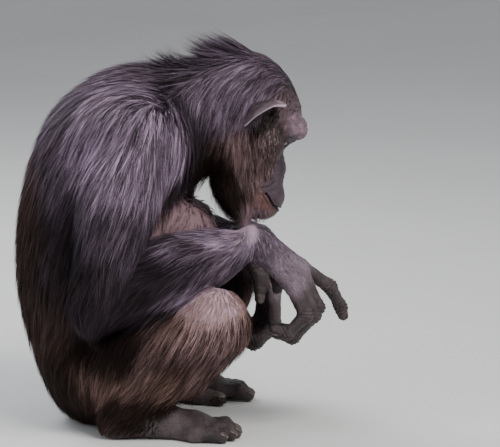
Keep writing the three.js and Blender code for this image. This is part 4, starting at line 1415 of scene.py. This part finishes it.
EYE_GAZE = (0.93, 0.1, -0.35)  # ahead, outwards and above
CORNEA, CORNEA_RISE = math.radians(33), 0.9  # half angle of the clear front, and how far it bulges
EYE_RINGS, EYE_SPOKES = 40, 48


def make_eye(name, sense):
    """A ball with its pole along the gaze and a slight bulge in front."""
    mirror = np.array((1, sense, 1))
    place = vec(head_point(*(np.array(EYE_PLACE) * mirror)))
    gaze = unit(np.array(EYE_GAZE) * mirror) @ HEAD_TURN
    aside = unit(np.cross(gaze, (0, 0, 1)))
    above = np.cross(aside, gaze)
    angle = np.linspace(0.02, math.pi - 0.02, EYE_RINGS)[:, None]
    turn = np.linspace(0, 2 * math.pi, EYE_SPOKES, endpoint=False)[None]
    radius = EYE_RADIUS + CORNEA_RISE * ramp(angle, CORNEA, 0)
    along, out = radius * np.cos(angle) + 0 * turn, radius * np.sin(angle)
    points = spanned((along, gaze), (out * np.cos(turn), aside), (out * np.sin(turn), above)) + place
    ends = vec([place + gaze * (EYE_RADIUS + CORNEA_RISE), place - gaze * EYE_RADIUS])
    faces = grid_faces(EYE_RINGS, EYE_SPOKES, True)
    piece = mesh_piece(f"eyeball_{name}", np.vstack([points, ends]), faces)
    spokes = np.arange(EYE_SPOKES)
    ahead = fan(spokes, len(points))
    behind = fan(spokes + len(points) - EYE_SPOKES, len(points) + 1)[:, [1, 0, 2]]
    fan_closed(piece, np.vstack([ahead, behind]), 1)
    set_mark(piece, "off_gaze", np.append(np.repeat(np.degrees(angle), EYE_SPOKES), (0, 180)))
    return piece


NAIL_ROWS, NAIL_COLUMNS = 9, 11
NAIL_TURN = math.radians(56)  # half the arc that a nail covers
NAIL_THICKNESS = 0.9


def nail_sheet(points, radius, dorsal):
    """Points of one nail's middle sheet, which hugs the end of a digit."""
    end = vec(points[-1])
    ahead = unit(end - vec(points[-2]))
    dorsal = unit(dorsal - ahead * (dorsal @ ahead))
    aside = np.cross(ahead, dorsal)
    row = np.linspace(-0.95, 0.86, NAIL_ROWS)[:, None]
    column = np.linspace(-1, 1, NAIL_COLUMNS)[None]
    turn = column * NAIL_TURN * (1 - 0.16 * ramp(row, 0.3, 0.9) - 0.12 * ramp(row, -0.5, -1))
    along = radius * (row - 0.1 * column**2 * np.sign(row))
    reach = radius * np.sqrt(1 - np.maximum(row, 0) ** 2 * 0.86) + 0.5 - 0.9 * ramp(row, -0.6, -0.95)
    return spanned((along, ahead), (reach * np.cos(turn), dorsal), (reach * np.sin(turn), aside)) + end


def make_nails():
    sheets = []
    for side in (RIGHT, LEFT):
        for points in [*side["fingers"].values(), side["thumb"]]:
            sheets.append(nail_sheet(points, FINGER_RADII[-1], vec(points[1]) - vec(points[0])))
        for points in side["toes"].values():
            sheets.append(nail_sheet(points, TOE_RADII[-1], vec((0.3, 0, 1))))
        sheets.append(nail_sheet(side["big_toe"], BIG_TOE_RADII[-1], vec((0, 0, 1))))
    one = grid_faces(NAIL_ROWS, NAIL_COLUMNS, False)
    faces = np.vstack([one + i * NAIL_ROWS * NAIL_COLUMNS for i in range(len(sheets))])
    piece = mesh_piece("nails", np.vstack(sheets), faces)
    set_mark(piece, "nail", np.tile(np.repeat(np.linspace(0, 1, NAIL_ROWS), NAIL_COLUMNS), len(sheets)))
    return thickened(piece, NAIL_THICKNESS)


ears = [make_ear(name, sense) for name, (_, sense) in SIDES.items()]
eyes = [make_eye(name, sense) for name, (_, sense) in SIDES.items()]
nails = make_nails()


# Finishes
class Socket:
    """A node's output that can be reckoned with like a number."""

    def __init__(self, finish, link):
        self.finish, self.link = finish, link

    def maths(self, operation, *values):
        return self.finish.add("Math", {"operation": operation}, dict(enumerate(values)))

    def __add__(self, other):
        return self.maths("ADD", self, other)

    def __sub__(self, other):
        return self.maths("SUBTRACT", self, other)

    def __rsub__(self, other):
        return self.maths("SUBTRACT", other, self)

    def __mul__(self, other):
        return self.maths("MULTIPLY", self, other)

    def __pow__(self, other):
        return self.maths("POWER", self, other)

    def above(self, low, high):
        """0 below one value and 1 above another, smooth between them."""
        inputs = {0: self, 1: low, 2: high}
        return self.finish.add("MapRange", {"interpolation_type": "SMOOTHSTEP"}, inputs)

    __radd__, __rmul__ = __add__, __mul__


class Finish:
    """A material whose nodes are added one by one."""

    def __init__(self, name, **fixed):
        self.material = bpy.data.materials.new(name)
        self.material.use_nodes = True
        self.tree = self.material.node_tree
        self.shader = self.tree.nodes["Principled BSDF"]
        for socket, value in fixed.items():
            self.fill(self.shader.inputs[socket.replace("_", " ")], value)

    def fill(self, socket, value):
        if isinstance(value, Socket):
            self.tree.links.new(value.link, socket)
        elif socket.type == "RGBA":
            socket.default_value = (*value, 1)
        else:
            socket.default_value = value

    def add(self, kind, settings=None, inputs=None, output=0):
        """A node of a kind: its settings first, and then the values or links of its sockets."""
        node = self.tree.nodes.new("ShaderNode" + kind)
        for name, value in (settings or {}).items():
            setattr(node, name, value)
        for socket, value in (inputs or {}).items():
            self.fill(node.inputs[socket], value)
        return Socket(self, node.outputs[output])

    def marks(self, *names):
        return [self.add("Attribute", {"attribute_name": name}, output="Fac") for name in names]

    def place(self):
        return self.add("TexCoord", output="Object")

    def grain(self, scale, detail=2.0, rough=0.55):
        inputs = {"Vector": self.place(), "Scale": scale, "Detail": detail, "Roughness": rough}
        return self.add("TexNoise", None, inputs)

    def blend(self, share, low, high):
        """A colour between two."""
        return self.add("Mix", {"data_type": "RGBA"}, {0: share, 6: low, 7: high}, 2)

    def surface(self, colour, rough):
        self.fill(self.shader.inputs["Base Color"], colour)
        self.fill(self.shader.inputs["Roughness"], rough)

    def relief(self, height, depth, strength):
        inputs = {"Height": height, "Distance": depth / 1000, "Strength": strength}
        self.fill(self.shader.inputs["Normal"], self.add("Bump", None, inputs))


def coat_finish():
    """Black hair with a painted lilac sheen on the shoulders, arms, upper back and crown, paler towards the
    tips, and brown on the flanks, legs and cheeks.
    """
    coat = Finish("coat", Specular_IOR_Level=0.09)
    tone, tip, brown, sheen_and_pale = coat.marks("tone", "tip", "brown", "sheen_and_pale")
    light = (tone**2.6) * (0.4 + 0.6 * tip)
    # The pale lilac end is mostly a painted sheen where the sheen mark is high
    black = coat.blend(light * (0.09 + 0.91 * sheen_and_pale), (0.0055, 0.0033, 0.0032), (0.94, 0.69, 0.96))
    dun = coat.blend(light * (0.24 + 0.76 * sheen_and_pale), (0.0075, 0.0030, 0.0016), (0.80, 0.48, 0.41))
    coat.surface(coat.blend(brown, black, dun), 0.52 - 0.14 * sheen_and_pale + 0.1 * tone)
    return coat


def skin_finish():
    """Grey skin under the coat, dark on the face, pale on the knees, pale on the brow with painted light
    from above, and with dark fingers; painted shade in the eye slits and sockets and in the hands' wrinkles
    and knuckle folds.
    """
    skin = Finish("skin", Specular_IOR_Level=0.42)
    face, brow, lip, slit = skin.marks("face", "brow", "lip", "slit")
    pale, brown, front = skin.marks("pale", "brown", "front")
    hand, dark, fold, digit, on_digit = skin.marks("hand", "dark", "fold", "digit", "on_digit")
    blotch, mottle, fine = skin.grain(38, 4), skin.grain(110, 5, 0.7), skin.grain(260, 3)
    inputs = {"Vector": skin.place(), "Scale": 420}
    cells = skin.add("TexVoronoi", {"feature": "DISTANCE_TO_EDGE"}, inputs, "Distance")
    under = skin.blend(brown, (0.016, 0.012, 0.016), (0.022, 0.013, 0.010))
    under = skin.blend(front * 0.85, under, (0.26, 0.155, 0.180))
    # Pale skin on the brow, with painted light from above, here and on the bare face below
    under = skin.blend(brow * 0.5, under, (0.150, 0.095, 0.118))
    bare = skin.blend(blotch.above(0.35, 0.7), (0.031, 0.018, 0.025), (0.080, 0.049, 0.066))
    bare = skin.blend(fine.above(0.5, 0.75) * 0.5, bare, (0.035, 0.024, 0.028))
    bare = skin.blend(brow * (0.2 + 0.6 * mottle.above(0.36, 0.62)), bare, (0.265, 0.168, 0.212))
    back = skin.blend(blotch.above(0.3, 0.7), (0.15, 0.105, 0.135), (0.33, 0.245, 0.305))
    fingers = skin.blend(blotch.above(0.3, 0.7), (0.040, 0.027, 0.028), (0.135, 0.095, 0.098))
    hands = skin.blend(dark, back, fingers)
    # Painted shade in the fine wrinkles of the hands and in the knuckles' cross folds
    hands = skin.blend((1 - cells.above(0.0, 0.26)) * 0.75, hands, (0.030, 0.020, 0.024))
    hands = skin.blend(fold * 0.8, hands, (0.016, 0.010, 0.010))
    colour = skin.blend(hand, skin.blend(face, under, bare), hands)
    colour = skin.blend(lip * 0.8, colour, (0.230, 0.105, 0.082))
    colour = skin.blend(pale * 0.95, colour, (0.48, 0.345, 0.42))
    # Painted shade in the slit between the lids and in the eye socket
    colour = skin.blend(slit * 0.8, colour, (0.012, 0.008, 0.008))
    skin.surface(colour, 0.54 - 0.1 * lip - 0.12 * hand + 0.12 * (fine - 0.5))
    folds = skin.add("Math", {"operation": "SINE"}, {0: digit * 1.9 + blotch * 5.0}) ** 2.0
    height = cells.above(0.0, 0.22) * 0.5 + fine * 0.5 + skin.grain(90, 3) * 0.9
    height = height - folds * on_digit * hand * 0.8
    skin.relief(height, 0.9, 0.8)
    return skin


def ear_finish():
    """Thin lilac-grey skin, with painted shade in the cup, and paler along the rim."""
    ear = Finish("ear", Specular_IOR_Level=0.4)
    rim, cup = ear.marks("rim", "cup")
    blotch, fine = ear.grain(60, 4), ear.grain(420, 3)
    plain = ear.blend(blotch.above(0.35, 0.7), (0.125, 0.080, 0.100), (0.24, 0.165, 0.205))
    pale_rim = ear.blend(fine.above(0.35, 0.65), (0.45, 0.335, 0.41), (0.66, 0.52, 0.61))
    colour = ear.blend(rim.above(0.74, 0.84) * (1 - rim.above(0.9, 1.0)), plain, pale_rim)
    # Painted shade in the cup
    ear.surface(ear.blend(cup * 0.85, colour, (0.022, 0.012, 0.012)), 0.5 + 0.14 * fine)
    ear.relief(fine * 0.6 + ear.grain(150, 3), 0.6, 0.7)
    return ear


def eye_finish():
    """A brown iris with streaks and a dark ring, in a dark brown ball darkened as painted shade, under a
    clear film.
    """
    eye = Finish("eye", Coat_Weight=0.8, Coat_Roughness=0.03, IOR=1.38)
    off = eye.marks("off_gaze")[0]
    streaks = eye.grain(900, 3)
    iris = eye.blend(streaks.above(0.35, 0.7), (0.040, 0.018, 0.009), (0.115, 0.052, 0.022))
    iris = eye.blend(off.above(25, 31), iris, (0.012, 0.006, 0.004))
    # The ball's dark brown is darkened further as painted shade under the brow
    ball = eye.blend(off.above(40, 75), (0.022, 0.012, 0.008), (0.05, 0.03, 0.024))
    colour = eye.blend(off.above(31, 33), iris, ball)
    eye.surface(eye.blend(off.above(12.5, 11), colour, (0.001, 0.001, 0.001)), 0.12 + 0.12 * streaks)
    return eye


def nail_finish():
    """Dark horn, with a fine grained relief, and worn pale at the edge."""
    nail = Finish("nail", Specular_IOR_Level=0.5)
    share = nail.marks("nail")[0]
    blotch = nail.grain(180, 4)
    horn = nail.blend(blotch.above(0.3, 0.7), (0.040, 0.027, 0.026), (0.115, 0.085, 0.078))
    nail.surface(nail.blend(share.above(0.8, 1.0) * 0.6, horn, (0.26, 0.205, 0.175)), 0.34 + 0.2 * blotch)
    nail.relief(blotch + nail.grain(900, 2) * 0.4, 0.3, 0.5)
    return nail


def floor_finish():
    ground = Finish("floor", Specular_IOR_Level=0.2)
    colour = ground.blend(ground.grain(1.5, 3).above(0.2, 0.8), (0.70, 0.70, 0.69), (0.74, 0.74, 0.73))
    ground.surface(colour, 0.85 + 0.05 * ground.grain(8, 2))
    return ground


def dressed(pieces, finish):
    for piece in pieces:
        piece.data.materials.clear()
        piece.data.materials.append(finish.material)
        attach(piece, "root")


dressed([skin], skin_finish())
dressed(coats, coat_finish())
dressed(ears, ear_finish())
dressed(eyes, eye_finish())
dressed([nails], nail_finish())
for name, ear, eye in zip(SIDES, ears, eyes):
    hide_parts(f"ear_{name}")
    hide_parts(f"eye_{name}")
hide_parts(*(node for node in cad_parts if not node.startswith(("eye", "ear"))))

# Camera, light and floor
TARGET = Vector((114.7, 0, 308)) + Vector(SHIFT.tolist())
CAMERA_DISTANCE = 7000
CAMERA_RISE = math.radians(9)
FRAME_WIDTH = 775  # of the scene, at the target
SENSOR_WIDTH = 36


def look(piece, target):
    piece.rotation_euler = (Vector(target) - piece.location).to_track_quat("-Z", "Y").to_euler()


camera = bpy.data.objects.new("camera", bpy.data.cameras.new("camera"))
camera.data.sensor_width = SENSOR_WIDTH
camera.data.lens = SENSOR_WIDTH * CAMERA_DISTANCE / FRAME_WIDTH
camera.data.clip_end = 100
away = Vector((0, -math.cos(CAMERA_RISE), math.sin(CAMERA_RISE)))
camera.location = (TARGET + away * CAMERA_DISTANCE) / 1000
look(camera, TARGET / 1000)
shown(camera)
bpy.context.scene.camera = camera


def soft_light(name, place, size, power, colour=(1, 1, 1)):
    light = bpy.data.lights.new(name, "AREA")
    light.size, light.energy, light.color = size, power, colour
    piece = bpy.data.objects.new(name, light)
    piece.location = place
    look(shown(piece), (0, 0, 0.3))


soft_light("key", (1.2, -1.8, 2.4), 1.6, 88, (1, 0.98, 0.95))
soft_light("back", (-1.4, 1.6, 2.2), 1.4, 60, (0.95, 0.97, 1))
soft_light("fill", (-2.0, -1.6, 1.0), 2.0, 22, (0.93, 0.95, 1))
world = bpy.data.worlds.new("studio")
world.use_nodes = True
world.node_tree.nodes["Background"].inputs["Color"].default_value = (0.86, 0.88, 0.92, 1)
world.node_tree.nodes["Background"].inputs["Strength"].default_value = 0.46
bpy.context.scene.world = world

FLOOR_REACH = 20000
corners = [(x * FLOOR_REACH, y * FLOOR_REACH, 0) for x, y in ((-1, -1), (1, -1), (1, 1), (-1, 1))]
floor = mesh_piece("floor", corners, [[0, 1, 2, 3]], False)
floor.data.materials.append(floor_finish().material)
